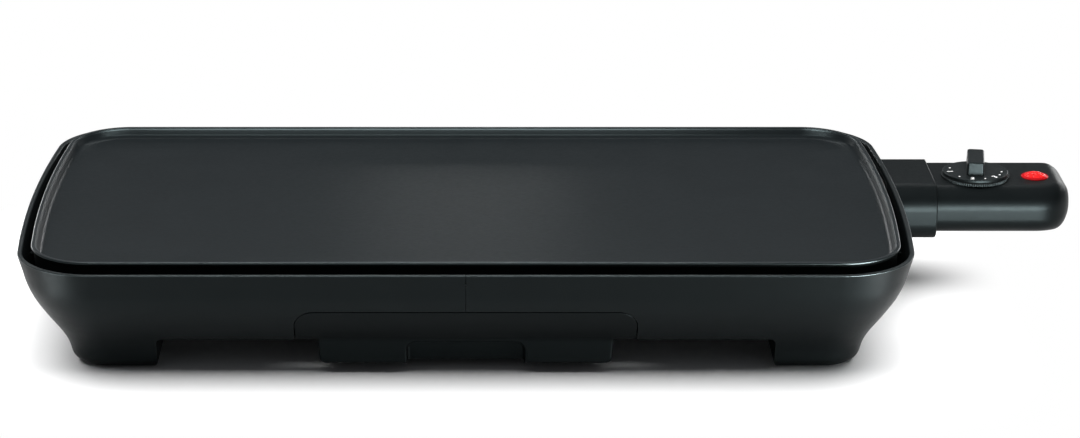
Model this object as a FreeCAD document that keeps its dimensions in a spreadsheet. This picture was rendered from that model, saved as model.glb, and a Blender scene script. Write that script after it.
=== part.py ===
import FreeCAD, Part
import math
import os
from types import SimpleNamespace

import Sketcher
from FreeCAD import Placement, Rotation, Vector

# Electric plancha: a non-stick plate in a bowl-sided base, with a drip drawer in front and
# a plug-in thermostat control at the right-hand end.
# The frame: +X points to the control, -Y to the front, +Z up, and Z = 0 is the table.
# Lengths are in millimetres. Places along X and Y are first counted from the middle of the
# base, and every finished piece is then moved by centre_x, so that the origin lies under
# the middle of the whole object.

DRIVING_SIZES = {
    # base
    "rim_half_x": 235.0,
    "rim_half_y": 129.7,
    "rim_height": 61.0,
    "rim_corner": 41.5,
    "side_bow_radius": 1110.0,
    "corner_closing": 0.8,
    "base_wall": 2.6,
    "seam_gap": 0.3,
    "shoulder_height": 49.0,
    "shoulder_inset": 3.2,
    "belly_height": 33.5,
    "belly_inset": 10.4,
    "skirt_height": 19.4,
    "skirt_inset": 20.2,
    "ankle_height": 9.0,
    "ankle_inset": 25.4,
    "sole_height": 0.8,
    "sole_inset": 27.6,
    "sole_fillet": 5.0,
    "foot_reach_x": 75.5,
    "foot_reach_y": 67.7,
    "floor_thickness": 2.6,
    "vent_width": 4.0,
    "vent_margin": 14.0,
    "vent_pitch": 16.0,
    "vent_count": 5.0,
    "vent_reach": 123.0,
    "slot_rounding": 0.45,
    # foot pads
    "pad_size": 20.0,
    "pad_thickness": 2.0,
    "pad_corner": 5.0,
    "pad_inset_x": 54.0,
    "pad_inset_y": 46.0,
    # plate rests and reflector posts
    "rest_width": 3.0,
    "rest_depth": 10.0,
    "rest_height": 14.0,
    "rest_x": 118.0,
    "rest_y": 66.0,
    "post_radius": 4.5,
    "post_inset_x": 85.0,
    "post_bay_gap": 24.0,
    "post_inset_y": 47.7,
    "pilot_radius": 1.25,
    "pilot_depth": 9.0,
    "strap_pilot_depth": 5.2,
    "rest_near_x": 29.5,
    # cooking plate
    "plate_gap_x": 7.3,
    "plate_gap_y": 10.4,
    "plate_lift": 3.4,
    "plate_height": 12.4,
    "plate_rim_width": 2.4,
    "plate_well_depth": 5.2,
    "plate_floor": 4.0,
    "plate_well_fillet": 4.6,
    "plate_rim_fillet": 0.7,
    "drain_length": 22.0,
    "drain_width": 6.0,
    "drain_inset": 12.5,
    # heating element
    "sheath_radius": 3.5,
    "sheath_embed": 1.6,
    "element_inset_left": 49.0,
    "element_inset_right": 59.0,
    "element_inset_front": 63.7,
    "element_bend": 26.0,
    "terminal_pitch": 24.0,
    "element_loop_x": 78.0,
    "element_loop_share": 0.62,
    "inner_bend_share": 0.48,
    "outer_bend_share": 0.417,
    # terminal block and pins
    "block_length": 18.0,
    "block_width": 46.0,
    "block_drop": 13.4,
    "block_inset": 31.0,
    "arch_gap": 1.0,
    "inlet_depth": 4.0,
    "pin_radius": 2.0,
    "pin_pitch": 18.0,
    "pin_length": 17.0,
    "pin_drop": 10.2,
    "earth_offset": 17.0,
    "pin_embed": 10.0,
    # control, its nose and its probe
    "control_inset_y": 83.2,
    "control_standout": 99.0,
    "housing_gap": 3.0,
    "housing_front": 25.5,
    "housing_rear": 28.0,
    "housing_top": 57.4,
    "housing_bottom": 31.6,
    "housing_wall": 2.2,
    "housing_corner_front": 12.0,
    "housing_corner_rear": 2.6,
    "housing_corner_bottom": 9.0,
    "housing_end_front": 20.0,
    "housing_end_rear": 12.0,
    "housing_end_top": 9.0,
    "cover_thickness": 2.2,
    "cover_corner": 1.0,
    "cover_lead": 1.0,
    "case_boss_radius": 3.5,
    "case_boss_start": 7.0,
    "case_boss_end": 6.0,
    "case_boss_side": 5.0,
    "nose_gap": 2.5,
    "nose_half_width": 21.5,
    "nose_bottom": 38.0,
    "nose_top": 51.0,
    "nose_corner": 2.0,
    "nose_shoulder": 3.0,
    "nose_tail": 1.0,
    "slot_width": 6.0,
    "slot_length": 20.0,
    "fork_wall": 0.7,
    "fork_lead": 1.0,
    "fork_drop": 1.0,
    "fork_tail": 4.0,
    "probe_radius": 3.0,
    "probe_reach": 56.5,
    "probe_height": 46.0,
    "probe_tail": 4.0,
    "probe_chamfer": 1.5,
    "saddle_length": 32.0,
    "saddle_lead": 2.0,
    "saddle_half_width": 7.0,
    # switch, bracket and bush inside the control
    "switch_half": 11.0,
    "switch_start": 20.0,
    "switch_end": 14.0,
    "switch_lift": 2.0,
    "switch_drop": 9.0,
    "switch_neck_half": 4.0,
    "bracket_half": 13.0,
    "bracket_sheet": 1.2,
    "bush_wall": 2.2,
    "bush_length": 5.0,
    "bush_flange": 1.0,
    "bush_flange_width": 1.6,
    # collar
    "collar_standout": 23.7,
    "collar_inset": 21.0,
    "collar_wall": 2.7,
    "collar_roof": 1.3,
    "tongue_lead": 2.0,
    "tongue_length": 20.0,
    "tongue_thickness": 3.0,
    "tongue_boss_length": 9.0,
    "tongue_half_width": 17.0,
    # dial and pilot light
    "dial_gap_share": 0.225,
    "dial_radius": 18.0,
    "dial_thickness": 1.7,
    "dial_chamfer": 0.5,
    "bezel_radius": 18.8,
    "bezel_height": 1.6,
    "bezel_width": 2.4,
    "bezel_rib_depth": 0.4,
    "bezel_rib_root": 0.3,
    "bezel_rib_count": 60.0,
    "grip_width": 10.0,
    "grip_height": 7.3,
    "grip_front": 8.4,
    "grip_back": 17.6,
    "grip_turn": -8.0,
    "grip_corner": 0.8,
    "grip_edge": 0.7,
    "hub_radius": 5.5,
    "spindle_radius": 3.0,
    "spindle_hole_gap": 1.5,
    "spindle_lead": 0.5,
    "spindle_chamfer": 0.6,
    "groove_depth": 0.8,
    "groove_width": 1.0,
    "clip_width": 1.0,
    "clip_thickness": 0.8,
    "clip_mouth_share": 0.7,
    "lens_gap_share": 0.3,
    "lens_radius": 7.5,
    "lens_dome": 2.2,
    "lens_rim": 0.6,
    "lens_stem_radius": 5.6,
    "lens_stem_reach": 2.0,
    "lamp_radius": 2.6,
    "lamp_length": 14.0,
    "gland_inset": 34.0,
    "gland_radius": 6.0,
    "gland_bore": 3.6,
    "gland_length": 16.0,
    "gland_inside": 8.0,
    "gland_flange": 2.0,
    "gland_flange_width": 1.5,
    # drip drawer
    "opening_half": 88.1,
    "opening_top": 39.2,
    "opening_corner": 10.5,
    "drawer_gap": 0.45,
    "deep_half": 76.4,
    "deep_setback": 20.4,
    "deep_bottom": 6.0,
    "deep_thickness": 10.3,
    "deep_top": 23.4,
    "deep_edge": 3.0,
    "recess_half": 30.2,
    "recess_top": 17.4,
    "recess_depth": 7.2,
    "recess_corner": 5.0,
    "fascia_wall": 2.6,
    "tray_half": 71.0,
    "tray_back_y": 40.0,
    "tray_bottom": 8.0,
    "tray_wall": 1.8,
    "tray_lip_setback": 16.7,
    "tray_step": 7.0,
    "tray_slope_share": 0.6,
    "flange_half": 78.5,
    "flange_top": 33.5,
    "flange_thickness": 2.0,
    # drawer cradle
    "runner_clearance": 0.3,
    "runner_wall": 2.4,
    "runner_lip": 5.3,
    "runner_foot": 12.0,
    "runner_setback": 29.7,
    "cradle_screw_inset": 8.0,
    # reflector and straps
    "reflector_inset_x": 37.0,
    "reflector_inset_y": 33.7,
    "reflector_corner": 24.0,
    "reflector_height": 40.0,
    "reflector_flange": 3.4,
    "sheet": 0.8,
    "strap_half": 20.0,
    "strap_height": 9.6,
    "strap_bottom": 40.6,
    "strap_thickness": 2.4,
    "strap_corner": 1.5,
    "strap_boss_half": 5.0,
    "strap_screw_x": 12.0,
    "strap_setback": 13.0,
    # fits and fasteners
    "seat_gap": 0.2,
    "turning_gap": 0.05,
    "screw_radius": 1.2,
    "screw_head_radius": 3.0,
    "screw_head_height": 1.8,
    "screw_edge": 1.0,
    "screw_length": 9.0,
    "short_screw_length": 6.4,
    "floor_screw_length": 4.8,
}

# How far cutting shapes reach past the faces that they cut.
PAST = 1.0
FAR_PAST = 10.0


class Length:
    """A size of the sheet, or a sum worked out from sizes: its value now and its expression."""

    def __init__(self, value, text):
        self.value = float(value)
        self.text = text

    def joined(self, other, sign, value):
        return Length(value, "({} {} {})".format(self.text, sign, as_length(other).text))

    def __add__(self, other):
        return self.joined(other, "+", self.value + as_length(other).value)

    def __sub__(self, other):
        return self.joined(other, "-", self.value - as_length(other).value)

    def __mul__(self, other):
        return self.joined(other, "*", self.value * as_length(other).value)

    def __truediv__(self, other):
        return self.joined(other, "/", self.value / as_length(other).value)

    def __radd__(self, other):
        return as_length(other) + self

    def __rsub__(self, other):
        return as_length(other) - self

    def __rmul__(self, other):
        return as_length(other) * self

    def __neg__(self):
        return as_length(0) - self


def as_length(number):
    if isinstance(number, Length):
        return number
    return Length(number, "({})".format(number))


doc = FreeCAD.newDocument("electric_plancha")
sheet = doc.addObject("Spreadsheet::Sheet", "sizes")
for row, (alias, number) in enumerate(DRIVING_SIZES.items(), start=1):
    sheet.set("A{}".format(row), alias)
    sheet.set("B{}".format(row), str(number))
    sheet.setAlias("B{}".format(row), alias)
doc.recompute()
size = SimpleNamespace(**{alias: Length(number, "sizes." + alias) for alias, number in DRIVING_SIZES.items()})

# Places that several pieces share, worked out from the driving sizes.
control_reach = size.rim_half_x + size.control_standout
centre_x = (size.rim_half_x - control_reach) / 2
foot_inner_x = size.rim_half_x - size.foot_reach_x
foot_inner_y = size.rim_half_y - size.foot_reach_y
vent_start_x = size.rim_half_x - size.vent_reach
vent_length = 2 * (foot_inner_y - size.vent_margin)
plate_top = size.rim_height + size.plate_lift
plate_bottom = plate_top - size.plate_height
plate_underside = plate_top - size.plate_well_depth - size.plate_floor
plate_half_x = size.rim_half_x - size.plate_gap_x
plate_half_y = size.rim_half_y - size.plate_gap_y
plate_corner = size.rim_corner - (size.plate_gap_x + size.plate_gap_y) / 2
floor_top = size.skirt_height + size.floor_thickness
web_inner = size.flange_half + size.runner_clearance
web_outer = web_inner + size.runner_wall
bay_half = web_inner + size.runner_wall / 2
bay_back = size.tray_back_y + 3 * size.runner_clearance + size.flange_thickness
post_x = size.rim_half_x - size.post_inset_x
post_inner_x = bay_half + size.post_bay_gap
post_y = size.rim_half_y - size.post_inset_y
reflector_half_x = size.rim_half_x - size.reflector_inset_x
reflector_half_y = size.rim_half_y - size.reflector_inset_y
element_left_x = size.rim_half_x - size.element_inset_left
element_right_x = size.rim_half_x - size.element_inset_right
element_front_y = size.rim_half_y - size.element_inset_front
element_height = plate_underside + size.sheath_embed - size.sheath_radius
block_end_x = size.rim_half_x - size.block_inset
block_bottom = plate_underside - size.block_drop
pin_height = plate_underside - size.pin_drop
dial_bottom = size.housing_top + size.bezel_height + size.seat_gap
control_y = size.rim_half_y - size.control_inset_y
nose_start_x = block_end_x + size.nose_gap
probe_tip_x = nose_start_x - size.probe_reach
housing_start_x = size.rim_half_x + size.housing_gap
collar_start_x = size.rim_half_x - size.collar_inset
collar_end_x = size.rim_half_x + size.collar_standout
free_top = control_reach - collar_end_x - 2 * (size.bezel_radius + size.lens_radius)
dial_x = collar_end_x + free_top * size.dial_gap_share + size.bezel_radius
lens_x = dial_x + size.bezel_radius + free_top * size.lens_gap_share + size.lens_radius
gland_x = control_reach - size.gland_inset
deep_front_y = size.rim_half_y - size.deep_setback
tray_lip_y = size.rim_half_y - size.tray_lip_setback
runner_front_y = size.rim_half_y - size.runner_setback
finished = []


# Small modelling helpers


def drive(item, path, length):
    """Bind one property of an object to the sheet."""
    item.setExpression(path, as_length(length).text)


def fix_point(sketch, geometry, end, x, y):
    """Dimension one end of a sketch line, or a circle's centre, from the sketch's origin."""
    for kind, place in (("DistanceX", as_length(x)), ("DistanceY", as_length(y))):
        index = sketch.addConstraint(Sketcher.Constraint(kind, -1, 1, geometry, end, place.value))
        sketch.setExpression("Constraints[{}]".format(index), place.text)


def fix_radius(sketch, geometry, radius):
    radius = as_length(radius)
    index = sketch.addConstraint(Sketcher.Constraint("Radius", geometry, radius.value))
    sketch.setExpression("Constraints[{}]".format(index), radius.text)


def draw_polygon(sketch, corners):
    """A closed outline of straight lines through the corners."""
    points = [Vector(as_length(x).value, as_length(y).value, 0) for x, y in corners]
    first = sketch.GeometryCount
    count = len(points)
    for i in range(count):
        sketch.addGeometry(Part.LineSegment(points[i], points[(i + 1) % count]), False)
    for i in range(count):
        here = first + i
        there = first + (i + 1) % count
        sketch.addConstraint(Sketcher.Constraint("Coincident", here, 2, there, 1))
        fix_point(sketch, here, 1, *corners[i])


def draw_rectangle(sketch, low_x, high_x, low_y, high_y):
    draw_polygon(sketch, [(low_x, low_y), (high_x, low_y), (high_x, high_y), (low_x, high_y)])


def draw_circle(sketch, x, y, radius):
    x, y, radius = as_length(x), as_length(y), as_length(radius)
    circle = Part.Circle(Vector(x.value, y.value, 0), Vector(0, 0, 1), radius.value)
    index = sketch.addGeometry(circle, False)
    fix_point(sketch, index, 3, x, y)
    fix_radius(sketch, index, radius)


def step_to(start, end):
    """The sign of the way from one corner to the next, along X and along Y."""
    return tuple(
        (as_length(b).value > as_length(a).value + 1e-9) - (as_length(b).value < as_length(a).value - 1e-9)
        for a, b in zip(start, end)
    )


def draw_rounded(sketch, corners, radii, closed=True):
    """Lines along X and Y with a tangent arc at every corner that has a radius."""
    count = len(corners)
    sides = count if closed else count - 1
    first = sketch.GeometryCount
    ends = []
    for i in range(sides):
        a, b = corners[i], corners[(i + 1) % count]
        way = step_to(a, b)
        start_radius, end_radius = as_length(radii[i]), as_length(radii[(i + 1) % count])
        start = tuple(as_length(p) + start_radius * w if w else as_length(p) for p, w in zip(a, way))
        end = tuple(as_length(p) - end_radius * w if w else as_length(p) for p, w in zip(b, way))
        ends.append((start, end, way))
    for i, (start, end, way) in enumerate(ends):
        points = [Vector(place[0].value, place[1].value, 0) for place in (start, end)]
        sketch.addGeometry(Part.LineSegment(*points), False)
        fix_point(sketch, first + i, 1, *start)
        fix_point(sketch, first + i, 2, *end)
    corners_with_arcs = range(sides) if closed else range(sides - 1)
    for i in corners_with_arcs:
        following = (i + 1) % len(ends)
        radius = as_length(radii[(i + 1) % count])
        if radius.value == 0:
            continue
        a = Vector(ends[i][1][0].value, ends[i][1][1].value, 0)
        b = Vector(ends[following][0][0].value, ends[following][0][1].value, 0)
        way, turn = ends[i][2], ends[following][2]
        centre = a + Vector(turn[0], turn[1], 0) * radius.value
        middle = centre + ((a - centre) + (b - centre)).normalize() * radius.value
        left_turn = way[0] * turn[1] - way[1] * turn[0] > 0
        arc = Part.Arc(a, middle, b) if left_turn else Part.Arc(b, middle, a)
        index = sketch.addGeometry(arc, False)
        arc_start, arc_end = (1, 2) if left_turn else (2, 1)
        sketch.addConstraint(Sketcher.Constraint("Coincident", index, arc_start, first + i, 2))
        sketch.addConstraint(Sketcher.Constraint("Coincident", index, arc_end, first + following, 1))
        fix_radius(sketch, index, radius)


def draw_bowed_outline(sketch, half_x, half_y, corner, bow):
    """The plancha's outline: straight front and back, slightly bowed ends and round corners."""
    hx, hy, r, big = (as_length(n).value for n in (half_x, half_y, corner, bow))
    bow_centre = hx - big
    corner_x = bow_centre + math.sqrt((big - r) ** 2 - (hy - r) ** 2)
    swing = math.atan2(hy - r, corner_x - bow_centre)
    first = sketch.GeometryCount
    up = Vector(0, 0, 1)
    quarter = math.pi / 2
    sketch.addGeometry(Part.LineSegment(Vector(-corner_x, -hy, 0), Vector(corner_x, -hy, 0)), False)
    corner_circle = Part.Circle(Vector(corner_x, r - hy, 0), up, r)
    sketch.addGeometry(Part.ArcOfCircle(corner_circle, -quarter, -swing), False)
    sketch.addGeometry(Part.ArcOfCircle(Part.Circle(Vector(bow_centre, 0, 0), up, big), -swing, swing), False)
    corner_circle = Part.Circle(Vector(corner_x, hy - r, 0), up, r)
    sketch.addGeometry(Part.ArcOfCircle(corner_circle, swing, quarter), False)
    sketch.addGeometry(Part.LineSegment(Vector(corner_x, hy, 0), Vector(-corner_x, hy, 0)), False)
    corner_circle = Part.Circle(Vector(-corner_x, hy - r, 0), up, r)
    sketch.addGeometry(Part.ArcOfCircle(corner_circle, quarter, math.pi - swing), False)
    left_bow = Part.Circle(Vector(-bow_centre, 0, 0), up, big)
    sketch.addGeometry(Part.ArcOfCircle(left_bow, math.pi - swing, math.pi + swing), False)
    corner_circle = Part.Circle(Vector(-corner_x, r - hy, 0), up, r)
    sketch.addGeometry(Part.ArcOfCircle(corner_circle, math.pi + swing, math.pi + quarter), False)
    for i in range(8):
        sketch.addConstraint(Sketcher.Constraint("Tangent", first + i, 2, first + (i + 1) % 8, 1))
    for line, edge in ((first, -as_length(half_y)), (first + 4, as_length(half_y))):
        sketch.addConstraint(Sketcher.Constraint("Horizontal", line))
        index = sketch.addConstraint(Sketcher.Constraint("DistanceY", -1, 1, line, 1, edge.value))
        sketch.setExpression("Constraints[{}]".format(index), edge.text)
    for i in (1, 3, 5, 7):
        fix_radius(sketch, first + i, corner)
    for i, side in ((2, 1), (6, -1)):
        fix_radius(sketch, first + i, bow)
        fix_point(sketch, first + i, 3, (as_length(half_x) - bow) * side, 0)


def new_body(name):
    body = doc.addObject("PartDesign::Body", name)
    body.Label = name
    return body


def body_sketch(body, name, role="XY_Plane", height=None):
    """A sketch on one of the body's own origin planes, lifted off it by a height."""
    sketch = body.newObject("Sketcher::SketchObject", name)
    plane = next(item for item in body.Origin.OriginFeatures if item.Role == role)
    sketch.AttachmentSupport = (plane, "")
    sketch.MapMode = "FlatFace"
    if height is not None:
        height = as_length(height)
        sketch.AttachmentOffset = Placement(Vector(0, 0, height.value), Rotation())
        sketch.setExpression("AttachmentOffset.Base.z", height.text)
    return sketch


def pad(body, sketch, length, middle=False, down=False):
    feature = body.newObject("PartDesign::Pad", sketch.Name + "_pad")
    feature.Profile = sketch
    drive(feature, "Length", length)
    feature.Midplane = middle
    feature.Reversed = down
    sketch.Visibility = False
    return feature


def pocket(body, sketch, length, middle=False, up=False):
    """A cut from the sketch's plane against its normal, or along it with up."""
    feature = body.newObject("PartDesign::Pocket", sketch.Name + "_pocket")
    feature.Profile = sketch
    drive(feature, "Length", length)
    feature.Midplane = middle
    feature.Reversed = up
    return feature


def turned(body, sketch, role="Z_Axis"):
    """A full revolution of a half profile about one of the body's axes."""
    feature = body.newObject("PartDesign::Revolution", sketch.Name + "_turned")
    feature.Profile = sketch
    axis = next(item for item in body.Origin.OriginFeatures if item.Role == role)
    feature.ReferenceAxis = (axis, [""])
    feature.Angle = 360
    return feature


def rounded_edges(body, base, wanted, radius, name):
    """A fillet on the edges of a feature that the given test picks."""
    doc.recompute()
    names = ["Edge{}".format(i + 1) for i, edge in enumerate(base.Shape.Edges) if wanted(edge)]
    feature = body.newObject("PartDesign::Fillet", name)
    feature.Base = (base, names)
    drive(feature, "Radius", radius)
    return feature


def lies_at(edge, axis, place):
    """Whether a whole edge lies in the plane where one coordinate has the given value."""
    box = edge.BoundBox
    low, high = {"x": (box.XMin, box.XMax), "y": (box.YMin, box.YMax), "z": (box.ZMin, box.ZMax)}[axis]
    value = as_length(place).value
    return abs(low - value) < 0.01 and abs(high - value) < 0.01


def block(name, low, high):
    """A box between two corners, each given as three lengths."""
    item = doc.addObject("Part::Box", name)
    for path, a, b in zip(("Length", "Width", "Height"), low, high):
        drive(item, path, as_length(b) - a)
    for path, a in zip("xyz", low):
        drive(item, "Placement.Base." + path, a)
    return item


def rod(name, radius, length, base, axis="z"):
    """A cylinder from a base point along one axis."""
    item = doc.addObject("Part::Cylinder", name)
    drive(item, "Radius", radius)
    drive(item, "Height", length)
    turn = {"z": Rotation(), "x": Rotation(Vector(0, 1, 0), 90), "y": Rotation(Vector(1, 0, 0), -90)}[axis]
    item.Placement = Placement(Vector(), turn)
    for path, a in zip("xyz", base):
        drive(item, "Placement.Base." + path, a)
    return item


def cut(name, base, tool):
    item = doc.addObject("Part::Cut", name)
    item.Base = base
    item.Tool = tool
    return item


def fuse(name, items):
    item = doc.addObject("Part::MultiFuse", name)
    item.Shapes = items
    return item


def overlap(name, items):
    item = doc.addObject("Part::MultiCommon", name)
    item.Shapes = items
    return item


def bundle(name, items):
    item = doc.addObject("Part::Compound", name)
    item.Links = items
    return item


def finish(item, name):
    """Name a sub-part and move it from the base's middle to the object's."""
    item.Label = name
    drive(item, "Placement.Base.x", centre_x)
    finished.append((name, item))


def screw(name, point, way, length=size.screw_length):
    """A pan-head screw: its head lies on the point, and its shank runs the given way."""
    axis = way[1]
    sign = -1 if way[0] == "-" else 1
    place = [as_length(p) for p in point]
    spot = "xyz".index(axis)
    head = list(place)
    shank = list(place)
    if sign > 0:
        head[spot] = place[spot] - size.screw_head_height
    else:
        shank[spot] = place[spot] - length
    parts = [
        rod(name + "_head", size.screw_head_radius, size.screw_head_height, head, axis),
        rod(name + "_shank", size.screw_radius, length, shank, axis),
    ]
    return fuse(name, parts)


# Base: the bowl-sided form, its hollow and its two halves


def flank_form(name, inset, lowest, highest, sole_fillet=None):
    """The base's outer form, or its hollow, as a loft through outlines from the rim to the sole."""
    body = new_body(name)
    levels = [
        (highest, as_length(0)),
        (size.shoulder_height, size.shoulder_inset),
        (size.belly_height, size.belly_inset),
        (size.skirt_height, size.skirt_inset),
        (size.ankle_height, size.ankle_inset),
        (lowest, size.sole_inset),
    ]
    sections = []
    for i, (height, depth) in enumerate(levels):
        sketch = body_sketch(body, "{}_level_{}".format(name, i), height=height)
        reach = depth + inset
        corner = size.rim_corner - reach * size.corner_closing
        half_x, half_y = size.rim_half_x - reach, size.rim_half_y - reach
        draw_bowed_outline(sketch, half_x, half_y, corner, size.side_bow_radius)
        sections.append(sketch)
    loft = body.newObject("PartDesign::AdditiveLoft", name + "_loft")
    loft.Profile = sections[0]
    loft.Sections = sections[1:]
    if sole_fillet is not None:
        rounded_edges(body, loft, lambda edge: lies_at(edge, "z", lowest), sole_fillet, name + "_sole")
    return body


outer_form = flank_form("outer_form", as_length(0), size.sole_height, size.rim_height, size.sole_fillet)
hollow_form = flank_form(
    "hollow_form", size.base_wall, size.sole_height + size.base_wall, size.rim_height + size.seat_gap
)
far_x = size.rim_half_x + FAR_PAST
far_y = size.rim_half_y + FAR_PAST
above_floor = block(
    "above_floor", (-far_x, -far_y, floor_top), (far_x, far_y, size.rim_height + FAR_PAST)
)
room_above_floor = overlap("room_above_floor", [hollow_form, above_floor])
foot_rooms = []
for side_x in (-1, 1):
    for side_y in (-1, 1):
        near = (foot_inner_x + size.base_wall, foot_inner_y + size.base_wall)
        low = (near[0] if side_x > 0 else -far_x, near[1] if side_y > 0 else -far_y, 0)
        high = (far_x if side_x > 0 else -near[0], far_y if side_y > 0 else -near[1], floor_top + PAST)
        foot_rooms.append(block("foot_box", low, high))
foot_room = overlap("foot_room", [hollow_form, fuse("foot_boxes", foot_rooms)])
under_middle = block(
    "under_middle", (-foot_inner_x, -far_y, -PAST), (foot_inner_x, far_y, size.skirt_height)
)
under_ends = block(
    "under_ends", (-far_x, -foot_inner_y, -PAST), (far_x, foot_inner_y, size.skirt_height)
)
under_floor = fuse("under_floor", [under_middle, under_ends])

opening_body = new_body("drawer_opening")
opening_sketch = body_sketch(opening_body, "opening_outline", "XZ_Plane", runner_front_y)
opening_corners = [
    (-size.opening_half, size.skirt_height - PAST),
    (size.opening_half, size.skirt_height - PAST),
    (size.opening_half, size.opening_top),
    (-size.opening_half, size.opening_top),
]
draw_rounded(opening_sketch, opening_corners, [0, 0, size.opening_corner, size.opening_corner])
pad(opening_body, opening_sketch, size.rim_half_y)

drawer_bay = block("drawer_bay", (-bay_half, -far_y, 0), (bay_half, bay_back, floor_top + PAST))

vents_body = new_body("vent_slots")
vents_sketch = body_sketch(vents_body, "vent_outline", height=size.skirt_height - PAST)
vent_corners = [
    (vent_start_x, -vent_length / 2),
    (vent_start_x + size.vent_width, -vent_length / 2),
    (vent_start_x + size.vent_width, vent_length / 2),
    (vent_start_x, vent_length / 2),
]
draw_rounded(vents_sketch, vent_corners, [size.vent_width * size.slot_rounding] * 4)
vent_pad = pad(vents_body, vents_sketch, size.floor_thickness + 2 * PAST)
vent_row = vents_body.newObject("PartDesign::LinearPattern", "vent_row")
vent_row.Originals = [vent_pad]
vent_row.Direction = (vents_sketch, ["H_Axis"])
drive(vent_row, "Length", size.vent_pitch * (size.vent_count - 1))
vent_row.Occurrences = int(size.vent_count.value)
vents_body.Tip = vent_row

tongue_start = nose_start_x - size.tongue_lead
collar_low = size.housing_bottom - size.seat_gap - size.tongue_thickness
collar_high = size.housing_top + size.seat_gap + size.collar_roof
collar_front = control_y - size.housing_front - size.seat_gap - size.collar_wall
collar_rear = control_y + size.housing_rear + size.seat_gap + size.collar_wall


def section_corners(front, rear, low, high):
    """The control's cross-section across X, seen from its far end, from the lower front corner on."""
    return [(front, low), (rear, low), (rear, high), (front, high)]


def section_radii(grow):
    """The cross-section's corner radii, grown or shrunk with the outline."""
    return [
        size.housing_corner_bottom + grow,
        size.housing_corner_bottom + grow,
        size.housing_corner_rear + grow,
        size.housing_corner_front + grow,
    ]


def section_prism(name, corners, radii, start, end):
    """A cross-section of the control drawn out along X."""
    body = new_body(name)
    sketch = body_sketch(body, name + "_section", "YZ_Plane", start)
    draw_rounded(sketch, corners, radii)
    pad(body, sketch, end - start)
    return body


collar_section = section_corners(collar_front, collar_rear, collar_low, collar_high)
collar_radii = section_radii(size.collar_wall / 2)
collar_hole = section_prism(
    "collar_hole",
    section_corners(
        collar_front - size.seat_gap,
        collar_rear + size.seat_gap,
        collar_low - size.seat_gap,
        collar_high + size.seat_gap,
    ),
    section_radii(size.collar_wall / 2 + size.seat_gap),
    collar_start_x - PAST,
    far_x,
)


def foot_pad_form(name, side_x, side_y, gap):
    """A rubber pad, or with a gap the recess in the sole that holds it."""
    body = new_body(name)
    sketch = body_sketch(body, name + "_outline")
    x = (size.rim_half_x - size.pad_inset_x) * side_x
    y = (size.rim_half_y - size.pad_inset_y) * side_y
    half = size.pad_size / 2 + gap
    corners = [(x - half, y - half), (x + half, y - half), (x + half, y + half), (x - half, y + half)]
    draw_rounded(sketch, corners, [size.pad_corner + gap] * 4)
    pad(body, sketch, size.pad_thickness + gap)
    return body


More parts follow.
